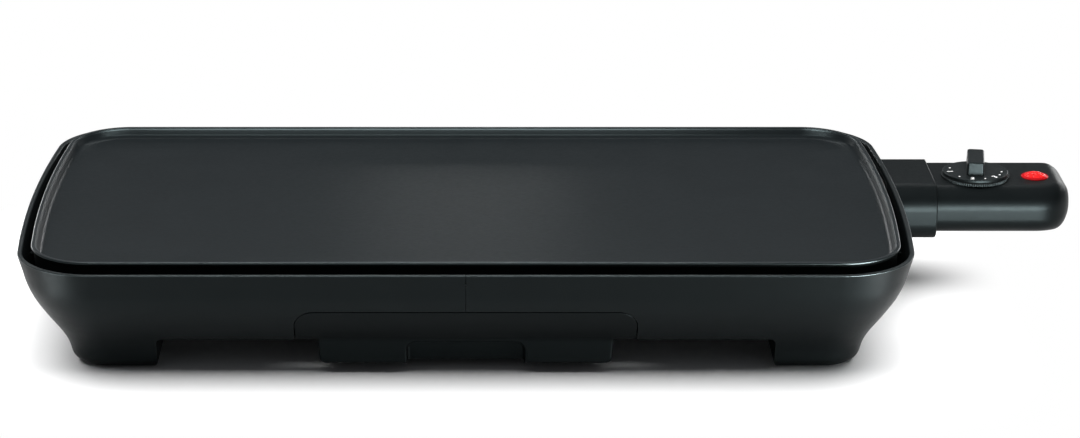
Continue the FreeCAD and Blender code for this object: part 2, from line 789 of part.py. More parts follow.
def base_half(name, side):
    """One moulded half: walls, floor, hollow feet, plate rests, reflector posts and seam bosses."""
    rooms = fuse(name + "_rooms", [room_above_floor, foot_room, under_floor])
    shell = cut(name + "_shell", outer_form, rooms)
    rests = []
    rest_top = plate_bottom - size.seat_gap
    rest_low = rest_top - size.rest_height
    half = size.rest_width / 2
    for front in (-1, 1):
        for x in (size.rest_x, size.rest_near_x):
            near = plate_half_y - size.rest_depth
            low = (side * x - half, near if front > 0 else -far_y, rest_low)
            high = (side * x + half, far_y if front > 0 else -near, rest_top)
            rests.append(block(name + "_rest", low, high))
    for y in (-size.rest_y, 0):
        near = plate_half_x - size.rest_depth
        low = (near if side > 0 else -far_x, y - half, rest_low)
        high = (far_x if side > 0 else -near, y + half, rest_top)
        rests.append(block(name + "_rest", low, high))
    for front in (-1, 1):
        near = size.rim_half_y - size.strap_setback
        boss_x = side * size.strap_screw_x
        boss_top = size.strap_bottom + size.strap_height
        low = (boss_x - size.strap_boss_half, near if front > 0 else -far_y, size.strap_bottom)
        high = (boss_x + size.strap_boss_half, far_y if front > 0 else -near, boss_top)
        rests.append(block(name + "_boss", low, high))
    ribs = overlap(name + "_ribs", [outer_form, fuse(name + "_rib_blocks", rests)])
    posts = []
    pilots = []
    for y in (-post_y, post_y):
        for x in (post_x, post_inner_x):
            foot = (side * x, y, size.skirt_height)
            post_length = size.reflector_height - size.skirt_height
            posts.append(rod(name + "_post", size.post_radius, post_length, foot))
            pilot_foot = (side * x, y, size.reflector_height - size.pilot_depth)
            pilots.append(rod(name + "_pilot", size.pilot_radius, size.pilot_depth + PAST, pilot_foot))
    for x, y in cradle_screw_places():
        pilot_foot = (x, y, size.skirt_height - PAST)
        pilots.append(rod(name + "_pilot", size.pilot_radius, size.floor_thickness + 2 * PAST, pilot_foot))
    for front in (-1, 1):
        start = size.rim_half_y - size.strap_setback
        low_y = start - PAST if front > 0 else -start - size.strap_pilot_depth
        place = (side * size.strap_screw_x, low_y, size.strap_bottom + size.strap_height / 2)
        pilots.append(rod(name + "_pilot", size.pilot_radius, size.strap_pilot_depth + PAST, place, "y"))
    vents = vents_body
    if side < 0:
        vents = doc.addObject("Part::Mirroring", name + "_vents")
        vents.Source = vents_body
        vents.Normal = Vector(1, 0, 0)
    recesses = [foot_pad_form(name + "_recess", side, front, size.seat_gap) for front in (-1, 1)]
    holes = [opening_body, drawer_bay, vents] + recesses + pilots
    solids = [shell, ribs] + posts
    if side > 0:
        holes.append(collar_hole)
        boss_end = tongue_start + size.tongue_boss_length
        boss_low = (tongue_start, control_y - size.tongue_half_width, size.skirt_height)
        boss_high = (boss_end, control_y + size.tongue_half_width, collar_low)
        solids.append(block("tongue_boss", boss_low, boss_high))
        for x, y in collar_screw_places():
            pilot_foot = (x, y, collar_low - size.strap_pilot_depth)
            holes.append(rod("tongue_pilot", size.pilot_radius, size.strap_pilot_depth + PAST, pilot_foot))
    whole = cut(name + "_whole", fuse(name + "_solid", solids), fuse(name + "_holes", holes))
    edge = size.seam_gap / 2
    low = (edge if side > 0 else -far_x, -far_y, -PAST)
    high = (far_x if side > 0 else -edge, far_y, size.rim_height + PAST)
    half_item = overlap(name, [whole, block(name + "_side", low, high)])
    finish(half_item, name)


def cradle_screw_places():
    """The cradle is screwed to the floor through its feet, three times on each side."""
    x = web_outer + size.runner_foot / 2
    front = size.cradle_screw_inset - runner_front_y
    rear = bay_back - size.cradle_screw_inset
    rows = (front, (front + rear) / 2, rear)
    return [(side * x, y) for side in (-1, 1) for y in rows]


def collar_screw_places():
    x = tongue_start + size.tongue_boss_length / 2
    reach = size.tongue_half_width - size.screw_head_radius - size.screw_edge
    return [(x, control_y - reach), (x, control_y + reach)]


base_half("base_left", -1)
base_half("base_right", 1)

for side_y, row_name in ((-1, "front"), (1, "rear")):
    for side_x, end_name in ((-1, "left"), (1, "right")):
        name = "foot_pad_{}_{}".format(row_name, end_name)
        finish(foot_pad_form(name, side_x, side_y, as_length(0)), name)

# Straps behind the seam, front and rear

strap_screws = []
for side_y, name in ((-1, "front_seam_strap"), (1, "rear_seam_strap")):
    body = new_body(name)
    inner = size.rim_half_y - size.strap_setback - size.seat_gap - size.strap_thickness
    outer = inner + size.strap_thickness
    sketch = body_sketch(body, name + "_outline", "XZ_Plane", -inner if side_y > 0 else outer)
    top = size.strap_bottom + size.strap_height
    corners = [
        (-size.strap_half, size.strap_bottom),
        (size.strap_half, size.strap_bottom),
        (size.strap_half, top),
        (-size.strap_half, top),
    ]
    draw_rounded(sketch, corners, [size.strap_corner] * 4)
    middle_height = size.strap_bottom + size.strap_height / 2
    for x in (-size.strap_screw_x, size.strap_screw_x):
        draw_circle(sketch, x, middle_height, size.screw_radius + size.turning_gap)
    pad(body, sketch, size.strap_thickness, down=True)
    finish(body, name)
    way = "+y" if side_y > 0 else "-y"
    for x in (-size.strap_screw_x, size.strap_screw_x):
        seat = (x, inner * side_y, middle_height)
        strap_screws.append(screw(name + "_screw", seat, way, size.short_screw_length))
finish(bundle("strap_screws", strap_screws), "strap_screws")

# Heat reflector: a flat sheet with a flange turned down all round

reflector_body = new_body("reflector_sheet")
reflector_top = size.reflector_height + size.sheet
corners = [
    (-reflector_half_x, -reflector_half_y),
    (reflector_half_x, -reflector_half_y),
    (reflector_half_x, reflector_half_y),
    (-reflector_half_x, reflector_half_y),
]
reflector_low = size.reflector_height - size.reflector_flange
sketch = body_sketch(reflector_body, "reflector_outline", height=reflector_low)
draw_rounded(sketch, corners, [size.reflector_corner] * 4)
pad(reflector_body, sketch, size.reflector_flange + size.sheet)
sketch = body_sketch(reflector_body, "reflector_hollow", height=reflector_low)
inner_x = reflector_half_x - size.sheet
inner_y = reflector_half_y - size.sheet
corners = [(-inner_x, -inner_y), (inner_x, -inner_y), (inner_x, inner_y), (-inner_x, inner_y)]
draw_rounded(sketch, corners, [size.reflector_corner - size.sheet] * 4)
pocket(reflector_body, sketch, size.reflector_flange, up=True)
reflector_screws = []
reflector_holes = []
for side_x in (-1, 1):
    for side_y in (-1, 1):
        x, y = post_x * side_x, post_y * side_y
        hole_radius = size.screw_radius + size.turning_gap
        hole_foot = (x, y, size.reflector_height - PAST)
        reflector_holes.append(rod("reflector_hole", hole_radius, size.sheet + 2 * PAST, hole_foot))
        reflector_screws.append(screw("reflector_screw", (x, y, reflector_top), "-z"))
finish(cut("heat_reflector", reflector_body, fuse("reflector_holes", reflector_holes)), "heat_reflector")
finish(bundle("reflector_screws", reflector_screws), "reflector_screws")

# Collar: a moulded socket that passes through the base's right-hand wall

inner_front = control_y - size.housing_front - size.seat_gap
inner_rear = control_y + size.housing_rear + size.seat_gap
inner_low = size.housing_bottom - size.seat_gap
inner_high = size.housing_top + size.seat_gap
collar_outside = section_prism(
    "collar_outside", collar_section, collar_radii, collar_start_x, collar_end_x
)
collar_inside = section_prism(
    "collar_inside",
    section_corners(inner_front, inner_rear, inner_low, inner_high),
    section_radii(size.seat_gap),
    collar_start_x - PAST,
    collar_end_x + PAST,
)
tongue_top = collar_low + size.tongue_thickness
tongue_end = tongue_start + size.tongue_length
tongue = block(
    "collar_tongue",
    (tongue_start, control_y - size.tongue_half_width, collar_low),
    (tongue_end, control_y + size.tongue_half_width, tongue_top),
)
tongue_holes = []
collar_screws = []
for x, y in collar_screw_places():
    hole_length = size.tongue_thickness + 2 * PAST
    hole_foot = (x, y, collar_low - PAST)
    tongue_holes.append(rod("tongue_hole", size.screw_radius + size.turning_gap, hole_length, hole_foot))
    collar_screws.append(screw("collar_screw", (x, y, tongue_top), "-z", size.short_screw_length))
collar_solid = cut("collar_tube", cut("collar_walls", collar_outside, collar_inside), hollow_form)
collar_whole = fuse("collar_whole", [collar_solid, tongue])
finish(cut("connector_collar", collar_whole, fuse("tongue_holes", tongue_holes)), "connector_collar")
finish(bundle("collar_screws", collar_screws), "collar_screws")

# Drawer cradle: two C-shaped runners and the stop bar that joins them

cradle_body = new_body("cradle_frame")
ledge_top = size.flange_top - size.flange_thickness - size.runner_clearance
lip_bottom = size.flange_top + size.runner_clearance
rail_inner = web_inner - size.runner_lip
runner_profile = [
    (web_inner, floor_top),
    (web_outer + size.runner_foot, floor_top),
    (web_outer + size.runner_foot, floor_top + size.runner_wall),
    (web_outer, floor_top + size.runner_wall),
    (web_outer, lip_bottom + size.runner_wall),
    (rail_inner, lip_bottom + size.runner_wall),
    (rail_inner, lip_bottom),
    (web_inner, lip_bottom),
    (web_inner, ledge_top),
    (rail_inner, ledge_top),
    (rail_inner, ledge_top - size.runner_wall),
    (web_inner, ledge_top - size.runner_wall),
]
sketch = body_sketch(cradle_body, "runner_right_profile", "XZ_Plane", -bay_back)
draw_polygon(sketch, runner_profile)
pad(cradle_body, sketch, bay_back + runner_front_y)
sketch = body_sketch(cradle_body, "stop_bar_outline", height=floor_top)
draw_rectangle(sketch, -web_outer, web_outer, bay_back, bay_back + size.runner_wall)
pad(cradle_body, sketch, lip_bottom + size.runner_wall - floor_top)
sketch = body_sketch(cradle_body, "runner_left_profile", "XZ_Plane", -bay_back)
draw_polygon(sketch, [(-x, z) for x, z in runner_profile])
pad(cradle_body, sketch, bay_back + runner_front_y)
cradle_holes = []
cradle_screws = []
for x, y in cradle_screw_places():
    hole_length = size.runner_wall + 2 * PAST
    hole_foot = (x, y, floor_top - PAST)
    cradle_holes.append(rod("cradle_hole", size.screw_radius + size.turning_gap, hole_length, hole_foot))
    seat = (x, y, floor_top + size.runner_wall)
    cradle_screws.append(screw("cradle_screw", seat, "-z", size.floor_screw_length))
finish(cut("drawer_cradle", cradle_body, fuse("cradle_holes", cradle_holes)), "drawer_cradle")
finish(bundle("cradle_screws", cradle_screws), "cradle_screws")

# Drip drawer: the front follows the base's bowl side, the deep part below it is upright

fascia_body = new_body("fascia_outline")
sketch = body_sketch(fascia_body, "fascia_front", "XZ_Plane", runner_front_y)
fascia_half = size.opening_half - size.drawer_gap
fascia_top = size.opening_top - size.drawer_gap
corners = [
    (-fascia_half, size.skirt_height),
    (fascia_half, size.skirt_height),
    (fascia_half, fascia_top),
    (-fascia_half, fascia_top),
]
fascia_corner = size.opening_corner - size.drawer_gap
draw_rounded(sketch, corners, [0, 0, fascia_corner, fascia_corner])
pad(fascia_body, sketch, size.rim_half_y)
fascia_wall = cut("fascia_wall", outer_form, hollow_form)
fascia = overlap("fascia", [fascia_wall, fascia_body])

deep_body = new_body("drawer_deep_part")
deep_back_y = deep_front_y - size.deep_thickness
sketch = body_sketch(deep_body, "deep_front", "XZ_Plane", deep_back_y)
corners = [
    (-size.deep_half, size.deep_bottom),
    (size.deep_half, size.deep_bottom),
    (size.deep_half, size.deep_top),
    (-size.deep_half, size.deep_top),
]
draw_rounded(sketch, corners, [size.deep_edge, size.deep_edge, 0, 0])
pad(deep_body, sketch, size.deep_thickness)
sketch = body_sketch(deep_body, "finger_recess", "XZ_Plane", deep_front_y)
corners = [
    (-size.recess_half, size.deep_bottom - PAST),
    (size.recess_half, size.deep_bottom - PAST),
    (size.recess_half, size.recess_top),
    (-size.recess_half, size.recess_top),
]
draw_rounded(sketch, corners, [0, 0, size.recess_corner, size.recess_corner])
pocket(deep_body, sketch, size.recess_depth)
for side in (-1, 1):
    hollow_name = "rear_hollow_left" if side < 0 else "rear_hollow_right"
    sketch = body_sketch(deep_body, hollow_name, "XZ_Plane", deep_back_y)
    near, far = size.recess_half + size.fascia_wall, size.deep_half - size.fascia_wall
    low, high = (near, far) if side > 0 else (-far, -near)
    hollow_low, hollow_high = size.deep_bottom + size.fascia_wall, size.skirt_height - size.fascia_wall
    draw_rectangle(sketch, low, high, hollow_low, hollow_high)
    pocket(deep_body, sketch, size.deep_thickness - size.fascia_wall, up=True)
finish(fuse("drawer_front", [fascia, deep_body]), "drawer_front")

tray_body = new_body("drip_tray")
tray_front_y = deep_back_y - size.seat_gap
tray_top = size.flange_top
step_low = size.deep_top + size.seat_gap
outline = [
    (size.tray_back_y, tray_top),
    (size.tray_back_y, size.tray_bottom),
    (-tray_front_y, size.tray_bottom),
    (-tray_front_y, step_low),
    (-tray_lip_y, step_low + size.tray_step),
    (-tray_lip_y, tray_top),
]
sketch = body_sketch(tray_body, "tray_side", "YZ_Plane")
draw_polygon(sketch, outline)
pad(tray_body, sketch, 2 * size.tray_half, middle=True)
sketch = body_sketch(tray_body, "tray_flanges", height=tray_top - size.flange_thickness)
draw_rectangle(sketch, -size.flange_half, size.flange_half, -runner_front_y, size.tray_back_y)
pad(tray_body, sketch, size.flange_thickness)
wall = size.tray_wall
room = [
    (size.tray_back_y - wall, tray_top + PAST),
    (size.tray_back_y - wall, size.tray_bottom + wall),
    (wall - tray_front_y, size.tray_bottom + wall),
    (wall - tray_front_y, step_low + wall * size.tray_slope_share),
    (wall - tray_lip_y, step_low + size.tray_step + wall * size.tray_slope_share),
    (wall - tray_lip_y, tray_top + PAST),
]
sketch = body_sketch(tray_body, "tray_room", "YZ_Plane")
draw_polygon(sketch, room)
pocket(tray_body, sketch, 2 * (size.tray_half - wall), middle=True)
finish(tray_body, "drip_tray")

# Cooking plate: raised rim, well, skirt, drain slot and the saddle for the probe

plate_body = new_body("plate_casting")
sketch = body_sketch(plate_body, "plate_outline", height=plate_bottom)
draw_bowed_outline(sketch, plate_half_x, plate_half_y, plate_corner, size.side_bow_radius)
pad(plate_body, sketch, size.plate_height)
sketch = body_sketch(plate_body, "plate_well", height=plate_top)
rim = size.plate_rim_width
draw_bowed_outline(sketch, plate_half_x - rim, plate_half_y - rim, plate_corner - rim, size.side_bow_radius)
well = pocket(plate_body, sketch, size.plate_well_depth)
well_floor = plate_top - size.plate_well_depth
well_round = rounded_edges(
    plate_body, well, lambda edge: lies_at(edge, "z", well_floor), size.plate_well_fillet, "well_fillet"
)
rounded_edges(
    plate_body, well_round, lambda edge: lies_at(edge, "z", plate_top), size.plate_rim_fillet, "rim_fillet"
)
sketch = body_sketch(plate_body, "plate_underside_hollow", height=plate_bottom)
draw_bowed_outline(
    sketch, plate_half_x - size.base_wall, plate_half_y - size.base_wall, plate_corner - size.base_wall,
    size.side_bow_radius,
)
pocket(plate_body, sketch, plate_underside - plate_bottom, up=True)
sketch = body_sketch(plate_body, "saddle_outline", height=size.probe_height)
saddle_start = probe_tip_x - size.saddle_lead
draw_rectangle(
    sketch, saddle_start, saddle_start + size.saddle_length,
    control_y - size.saddle_half_width, control_y + size.saddle_half_width,
)
pad(plate_body, sketch, plate_underside - size.probe_height + PAST)
sketch = body_sketch(plate_body, "saddle_groove", "YZ_Plane", saddle_start - PAST)
draw_circle(sketch, control_y, size.probe_height, size.probe_radius + size.seat_gap)
pocket(plate_body, sketch, size.saddle_length + 2 * PAST, up=True)
sketch = body_sketch(plate_body, "drain_slot", height=well_floor)
drain_y = size.drain_inset - plate_half_y
drain_low, drain_high = drain_y - size.drain_width / 2, drain_y + size.drain_width / 2
corners = [
    (-size.drain_length / 2, drain_low),
    (size.drain_length / 2, drain_low),
    (size.drain_length / 2, drain_high),
    (-size.drain_length / 2, drain_high),
]
draw_rounded(sketch, corners, [size.drain_width * size.slot_rounding] * 4)
pocket(plate_body, sketch, size.plate_floor + PAST)

# Heating element: one sheathed tube bent into a double loop, cast into the underside

inlet_front = control_y - size.terminal_pitch / 2
inlet_rear = control_y + size.terminal_pitch / 2
inlet_x = block_end_x - size.block_length + size.inlet_depth
inner_left = element_left_x - size.element_loop_x
inner_front = size.element_loop_share * (inlet_front + element_front_y) - element_front_y
route = [
    (inlet_x, inlet_rear),
    (-element_left_x, inlet_rear),
    (-element_left_x, -element_front_y),
    (element_right_x, -element_front_y),
    (element_right_x, inner_front),
    (-inner_left, inner_front),
    (-inner_left, inlet_front),
    (inlet_x, inlet_front),
]
bend = size.element_bend
inner_bend = (inlet_front - inner_front) * size.inner_bend_share
outer_bend = (inner_front + element_front_y) * size.outer_bend_share


def element_form(name):
    """The sheathed tube along its route, as the element itself or as the groove it is cast into."""
    body = new_body(name)
    spine = body_sketch(body, name + "_route", height=element_height)
    bends = [0, bend, bend, outer_bend, outer_bend, inner_bend, inner_bend, 0]
    draw_rounded(spine, route, bends, closed=False)
    profile = body_sketch(body, name + "_section", "YZ_Plane", inlet_x)
    draw_circle(profile, inlet_rear, element_height, size.sheath_radius)
    tube = body.newObject("PartDesign::AdditivePipe", name + "_tube")
    tube.Profile = profile
    tube.Spine = (spine, [])
    return body


finish(cut("cooking_plate", plate_body, element_form("element_groove")), "cooking_plate")
finish(element_form("heating_element"), "heating_element")

# Terminal block: an arch of insulator under the plate, open below for the probe

block_body = new_body("block_arch")
block_start = block_end_x - size.block_length
sketch = body_sketch(block_body, "block_outline", height=block_bottom)
draw_rectangle(
    sketch, block_start, block_end_x,
    control_y - size.block_width / 2, control_y + size.block_width / 2,
)
pad(block_body, sketch, size.block_drop - size.seat_gap)
sketch = body_sketch(block_body, "probe_arch", "YZ_Plane", block_start - PAST)
arch = size.probe_radius + size.arch_gap
draw_rectangle(
    sketch, control_y - arch, control_y + arch, block_bottom - PAST, size.probe_height + arch
)
pocket(block_body, sketch, size.block_length + 2 * PAST, up=True)
sketch = body_sketch(block_body, "tube_sockets", "YZ_Plane", block_start - PAST)
for y in (inlet_front, inlet_rear):
    draw_circle(sketch, y, element_height, size.sheath_radius + size.turning_gap)
pocket(block_body, sketch, size.inlet_depth + PAST + size.seat_gap, up=True)
sketch = body_sketch(block_body, "pin_sockets", "YZ_Plane", block_end_x + PAST)
pin_places = [control_y - size.pin_pitch / 2, control_y + size.pin_pitch / 2]
earth_y = control_y + size.earth_offset
for y in pin_places + [earth_y]:
    draw_circle(sketch, y, pin_height, size.pin_radius + size.turning_gap)
pocket(block_body, sketch, size.pin_embed + PAST)
finish(block_body, "terminal_block")
pins = []
for y in pin_places:
    start = (block_end_x - size.pin_embed + size.seat_gap, y, pin_height)
    pins.append(rod("terminal_pin", size.pin_radius, size.pin_embed + size.pin_length, start, "x"))
finish(bundle("terminal_pins", pins), "terminal_pins")
earth_start = (block_end_x - size.pin_embed + size.seat_gap, earth_y, pin_height)
earth = rod("earth_rod", size.pin_radius, size.pin_embed + size.pin_length, earth_start, "x")
finish(bundle("earth_pin", [earth]), "earth_pin")

# Thermostat control: the case is the common part of its three views


def control_form(name, inset, low, high):
    """The control's case seen from its end, from above and from the front, shrunk by an inset."""
    front = control_y - size.housing_front + inset
    rear = control_y + size.housing_rear - inset
    start, end = housing_start_x + inset, control_reach - inset
    seen_from_end = section_prism(
        name + "_end_view", section_corners(front, rear, low, high), section_radii(-inset), start, end
    )
    above = new_body(name + "_top_view")
    sketch = body_sketch(above, name + "_plan", height=low - PAST)
    corners = [(start, front), (end, front), (end, rear), (start, rear)]
    draw_rounded(sketch, corners, [0, size.housing_end_front - inset, size.housing_end_rear - inset, 0])
    pad(above, sketch, high - low + 2 * PAST)
    side = new_body(name + "_side_view")
    sketch = body_sketch(side, name + "_side", "XZ_Plane", -rear - PAST)
    corners = [(start, low), (end, low), (end, high), (start, high)]
    end_radius = size.housing_end_top - inset
    draw_rounded(sketch, corners, [0, end_radius, end_radius, 0])
    pad(side, sketch, rear - front + 2 * PAST)
    return overlap(name, [seen_from_end, above, side])


case_outside = control_form("case_outside", as_length(0), size.housing_bottom, size.housing_top)
case_ceiling = size.housing_top - size.housing_wall
case_inside = control_form(
    "case_inside", size.housing_wall, size.housing_bottom - size.housing_wall, case_ceiling
)
cover_top = size.housing_bottom + size.cover_thickness
cover_front = control_y - size.housing_front + size.housing_corner_bottom
cover_rear = control_y + size.housing_rear - size.housing_corner_bottom
cover_start = housing_start_x + size.housing_wall + size.cover_lead
cover_end = control_reach - size.housing_end_front
case_boss_places = [
    (x, y)
    for x in (cover_start + size.case_boss_start, cover_end - size.case_boss_end)
    for y in (cover_front + size.case_boss_side, cover_rear - size.case_boss_side)
]
through_wall = size.housing_wall + 2 * PAST
spindle_hole = size.spindle_radius + size.spindle_hole_gap
lens_hole = size.lens_stem_radius + size.seat_gap
gland_hole = size.gland_radius + size.seat_gap
gland_inside_y = control_y + size.housing_rear - size.housing_wall - PAST
nose_window = size.nose_half_width - size.nose_shoulder
case_bosses = []
case_holes = [
    rod("spindle_hole", spindle_hole, through_wall, (dial_x, control_y, case_ceiling - PAST)),
    rod("lens_hole", lens_hole, through_wall, (lens_x, control_y, case_ceiling - PAST)),
    rod("gland_hole", gland_hole, through_wall, (gland_x, gland_inside_y, size.probe_height), "y"),
    block(
        "cover_opening",
        (cover_start, cover_front, size.housing_bottom - PAST),
        (cover_end, cover_rear, cover_top),
    ),
    block(
        "nose_opening",
        (housing_start_x - PAST, control_y - nose_window, size.nose_bottom - size.seat_gap),
        (
            housing_start_x + size.housing_wall + PAST,
            control_y + nose_window,
            size.nose_top + size.seat_gap,
        ),
    ),
]
boss_length = case_ceiling + size.housing_wall / 2 - cover_top
for x, y in case_boss_places:
    case_bosses.append(rod("case_boss", size.case_boss_radius, boss_length, (x, y, cover_top)))
    pilot_foot = (x, y, cover_top - PAST)
    case_holes.append(rod("case_pilot", size.pilot_radius, size.pilot_depth + PAST, pilot_foot))
case_shell = cut("case_shell", case_outside, case_inside)
case_pillars = overlap("case_pillars", [case_outside, fuse("case_boss_set", case_bosses)])
case_solid = fuse("case_solid", [case_shell, case_pillars])
finish(cut("control_housing", case_solid, fuse("case_cuts", case_holes)), "control_housing")

cover_body = new_body("cover_plate")
sketch = body_sketch(cover_body, "cover_outline", height=size.housing_bottom)
gap = size.seat_gap
corners = [
    (cover_start + gap, cover_front + gap),
    (cover_end - gap, cover_front + gap),
    (cover_end - gap, cover_rear - gap),
    (cover_start + gap, cover_rear - gap),
]
draw_rounded(sketch, corners, [size.cover_corner] * 4)
for x, y in case_boss_places:
    draw_circle(sketch, x, y, size.screw_radius + size.turning_gap)
pad(cover_body, sketch, size.cover_thickness)
sketch = body_sketch(cover_body, "cover_counterbores", height=size.housing_bottom)
for x, y in case_boss_places:
    draw_circle(sketch, x, y, size.screw_head_radius + size.seat_gap)
pocket(cover_body, sketch, size.cover_thickness / 2, up=True)
finish(cover_body, "control_cover")
cover_screws = []
for x, y in case_boss_places:
    sunk = size.cover_thickness / 2
    head = rod("cover_screw_head", size.screw_head_radius, sunk, (x, y, size.housing_bottom))
    shank = rod("cover_screw_shank", size.screw_radius, size.screw_length, (x, y, size.housing_bottom + sunk))
    cover_screws.append(fuse("cover_screw", [head, shank]))
finish(bundle("cover_screws", cover_screws), "cover_screws")

# Plug nose: insulator with slots that are open at the end and on top for the plate's pins

nose_body = new_body("nose_block")
nose_end = housing_start_x - size.seat_gap
sketch = body_sketch(nose_body, "nose_section", "YZ_Plane", nose_start_x)
nose_front, nose_rear = control_y - size.nose_half_width, control_y + size.nose_half_width
nose_corners = section_corners(nose_front, nose_rear, size.nose_bottom, size.nose_top)
draw_rounded(sketch, nose_corners, [size.nose_corner] * 4)
pad(nose_body, sketch, nose_end - nose_start_x)
sketch = body_sketch(nose_body, "nose_tail", "YZ_Plane", nose_end)
tail_half = nose_window - size.seat_gap
tail_front, tail_rear = control_y - tail_half, control_y + tail_half
draw_rectangle(sketch, tail_front, tail_rear, size.nose_bottom, size.nose_top)
pad(nose_body, sketch, size.housing_wall + size.seat_gap + size.nose_tail)
slot_floor = pin_height - size.pin_radius - 2 * size.seat_gap - size.fork_wall
sketch = body_sketch(nose_body, "pin_slots", height=size.nose_top)
contact_places = pin_places + [earth_y]
for y in contact_places:
    draw_rectangle(
        sketch, nose_start_x - PAST, nose_start_x + size.slot_length,
        y - size.slot_width / 2, y + size.slot_width / 2,
    )
pocket(nose_body, sketch, size.nose_top - slot_floor)
sketch = body_sketch(nose_body, "probe_bore", "YZ_Plane", nose_start_x - PAST)
draw_circle(sketch, control_y, size.probe_height, size.probe_radius + size.turning_gap)
pocket(nose_body, sketch, nose_end - nose_start_x + size.housing_wall + size.probe_tail, up=True)
finish(nose_body, "control_nose")

fork_body = new_body("fork_strip")
fork_half = size.slot_width / 2 - size.turning_gap
fork_low = slot_floor + size.turning_gap
fork_high = size.nose_top - size.fork_drop
sketch = body_sketch(fork_body, "fork_section", "YZ_Plane", nose_start_x + size.fork_lead)
arm = fork_half - size.fork_wall
fork_bed = fork_low + size.fork_wall
draw_polygon(
    sketch,
    [
        (-fork_half, fork_low),
        (fork_half, fork_low),
        (fork_half, fork_high),
        (arm, fork_high),
        (arm, fork_bed),
        (-arm, fork_bed),
        (-arm, fork_high),
        (-fork_half, fork_high),
    ],
)
pad(fork_body, sketch, size.slot_length - size.fork_lead - size.turning_gap)
forks = []
for y in contact_places:
    fork = doc.addObject("Part::Fuse", "contact_fork")
    fork.Base = fork_body
    fork.Tool = block(
        "fork_tail", (nose_start_x + size.slot_length - size.fork_tail, -arm, fork_low),
        (nose_start_x + size.slot_length - size.turning_gap, arm, fork_bed + size.fork_wall),
    )
    drive(fork, "Placement.Base.y", y)
    forks.append(fork)
finish(bundle("contact_forks", forks), "contact_forks")

probe_body = new_body("temperature_probe")
sketch = body_sketch(probe_body, "probe_half", "XZ_Plane")
probe_end = housing_start_x + size.housing_wall + size.probe_tail
draw_polygon(
    sketch,
    [
        (probe_tip_x, 0),
        (probe_end, 0),
        (probe_end, size.probe_radius),
        (probe_tip_x + size.probe_chamfer, size.probe_radius),
        (probe_tip_x, size.probe_radius - size.probe_chamfer),
    ],
)
turned(probe_body, sketch, "X_Axis")
finish(probe_body, "temperature_probe")
drive(probe_body, "Placement.Base.y", control_y)
drive(probe_body, "Placement.Base.z", size.probe_height)

# Switch, bracket and the spindle's bush inside the case

switch_low = cover_top + size.switch_lift
switch_high = case_ceiling - size.switch_drop
switch_start = dial_x - size.switch_start
switch_end = dial_x + size.switch_end
neck_half = size.switch_neck_half
switch_box = block(
    "switch_box",
    (switch_start, control_y - size.switch_half, switch_low),
    (switch_end, control_y + size.switch_half, switch_high),
)
switch_neck = block(
    "switch_neck",
    (probe_end + size.seat_gap, control_y - neck_half, size.probe_height - neck_half),
    (switch_start + PAST, control_y + neck_half, switch_high),
)
finish(fuse("thermostat_switch", [switch_box, switch_neck]), "thermostat_switch")
bracket_low = switch_high + size.seat_gap
bracket_top = bracket_low + size.bracket_sheet
bracket_front, bracket_rear = control_y - size.bracket_half, control_y + size.bracket_half
bush_radius = size.spindle_radius + size.bush_wall
bracket_plate = block(
    "bracket_plate", (switch_start, bracket_front, bracket_low), (switch_end, bracket_rear, bracket_top)
)
bracket_legs = [
    block("bracket_leg", (switch_start, low, switch_low), (switch_end, low + size.bracket_sheet, bracket_top))
    for low in (bracket_front, bracket_rear - size.bracket_sheet)
]
bracket_bent = fuse("bracket_bent", [bracket_plate] + bracket_legs)
bush_axis = (dial_x, control_y)
bracket_hole = rod(
    "bracket_hole", bush_radius + gap / 2, size.bracket_sheet + 2 * PAST, (*bush_axis, bracket_low - PAST)
)
finish(cut("switch_bracket", bracket_bent, bracket_hole), "switch_bracket")
bush_barrel = rod("bush_barrel", bush_radius, size.bush_length, (*bush_axis, bracket_low))
bush_flange = rod(
    "bush_flange", bush_radius + size.bush_flange_width, size.bush_flange, (*bush_axis, bracket_top + gap / 2)
)
bush_bore = rod(
    "bush_bore", size.spindle_radius + size.turning_gap, size.bush_length + 2 * PAST,
    (*bush_axis, bracket_low - PAST),
)
finish(cut("spindle_bush", fuse("bush_outside", [bush_barrel, bush_flange]), bush_bore), "spindle_bush")

# Dial bezel: a low ring with fine ribs round its edge

bezel_body = new_body("dial_bezel")
sketch = body_sketch(bezel_body, "bezel_ring")
ring_outer = size.bezel_radius - size.bezel_rib_depth
draw_circle(sketch, 0, 0, ring_outer)
draw_circle(sketch, 0, 0, size.bezel_radius - size.bezel_width)
pad(bezel_body, sketch, size.bezel_height)
sketch = body_sketch(bezel_body, "bezel_rib")
rib_half = size.bezel_rib_depth
rib_root = ring_outer - size.bezel_rib_root
draw_polygon(
    sketch,
    [
        (rib_root, -rib_half),
        (size.bezel_radius, -rib_half / 2),
        (size.bezel_radius, rib_half / 2),
        (rib_root, rib_half),
    ],
)
rib = pad(bezel_body, sketch, size.bezel_height)
ribs = bezel_body.newObject("PartDesign::PolarPattern", "bezel_ribs")
ribs.Originals = [rib]
ribs.Axis = (sketch, ["N_Axis"])
ribs.Angle = 360
ribs.Occurrences = int(size.bezel_rib_count.value)
bezel_body.Tip = ribs
finish(bezel_body, "dial_bezel")
drive(bezel_body, "Placement.Base.x", dial_x + centre_x)
drive(bezel_body, "Placement.Base.y", control_y)
drive(bezel_body, "Placement.Base.z", size.housing_top)

# Dial: a thin disc with a grip bar across it, on a hub with a D-shaped bore

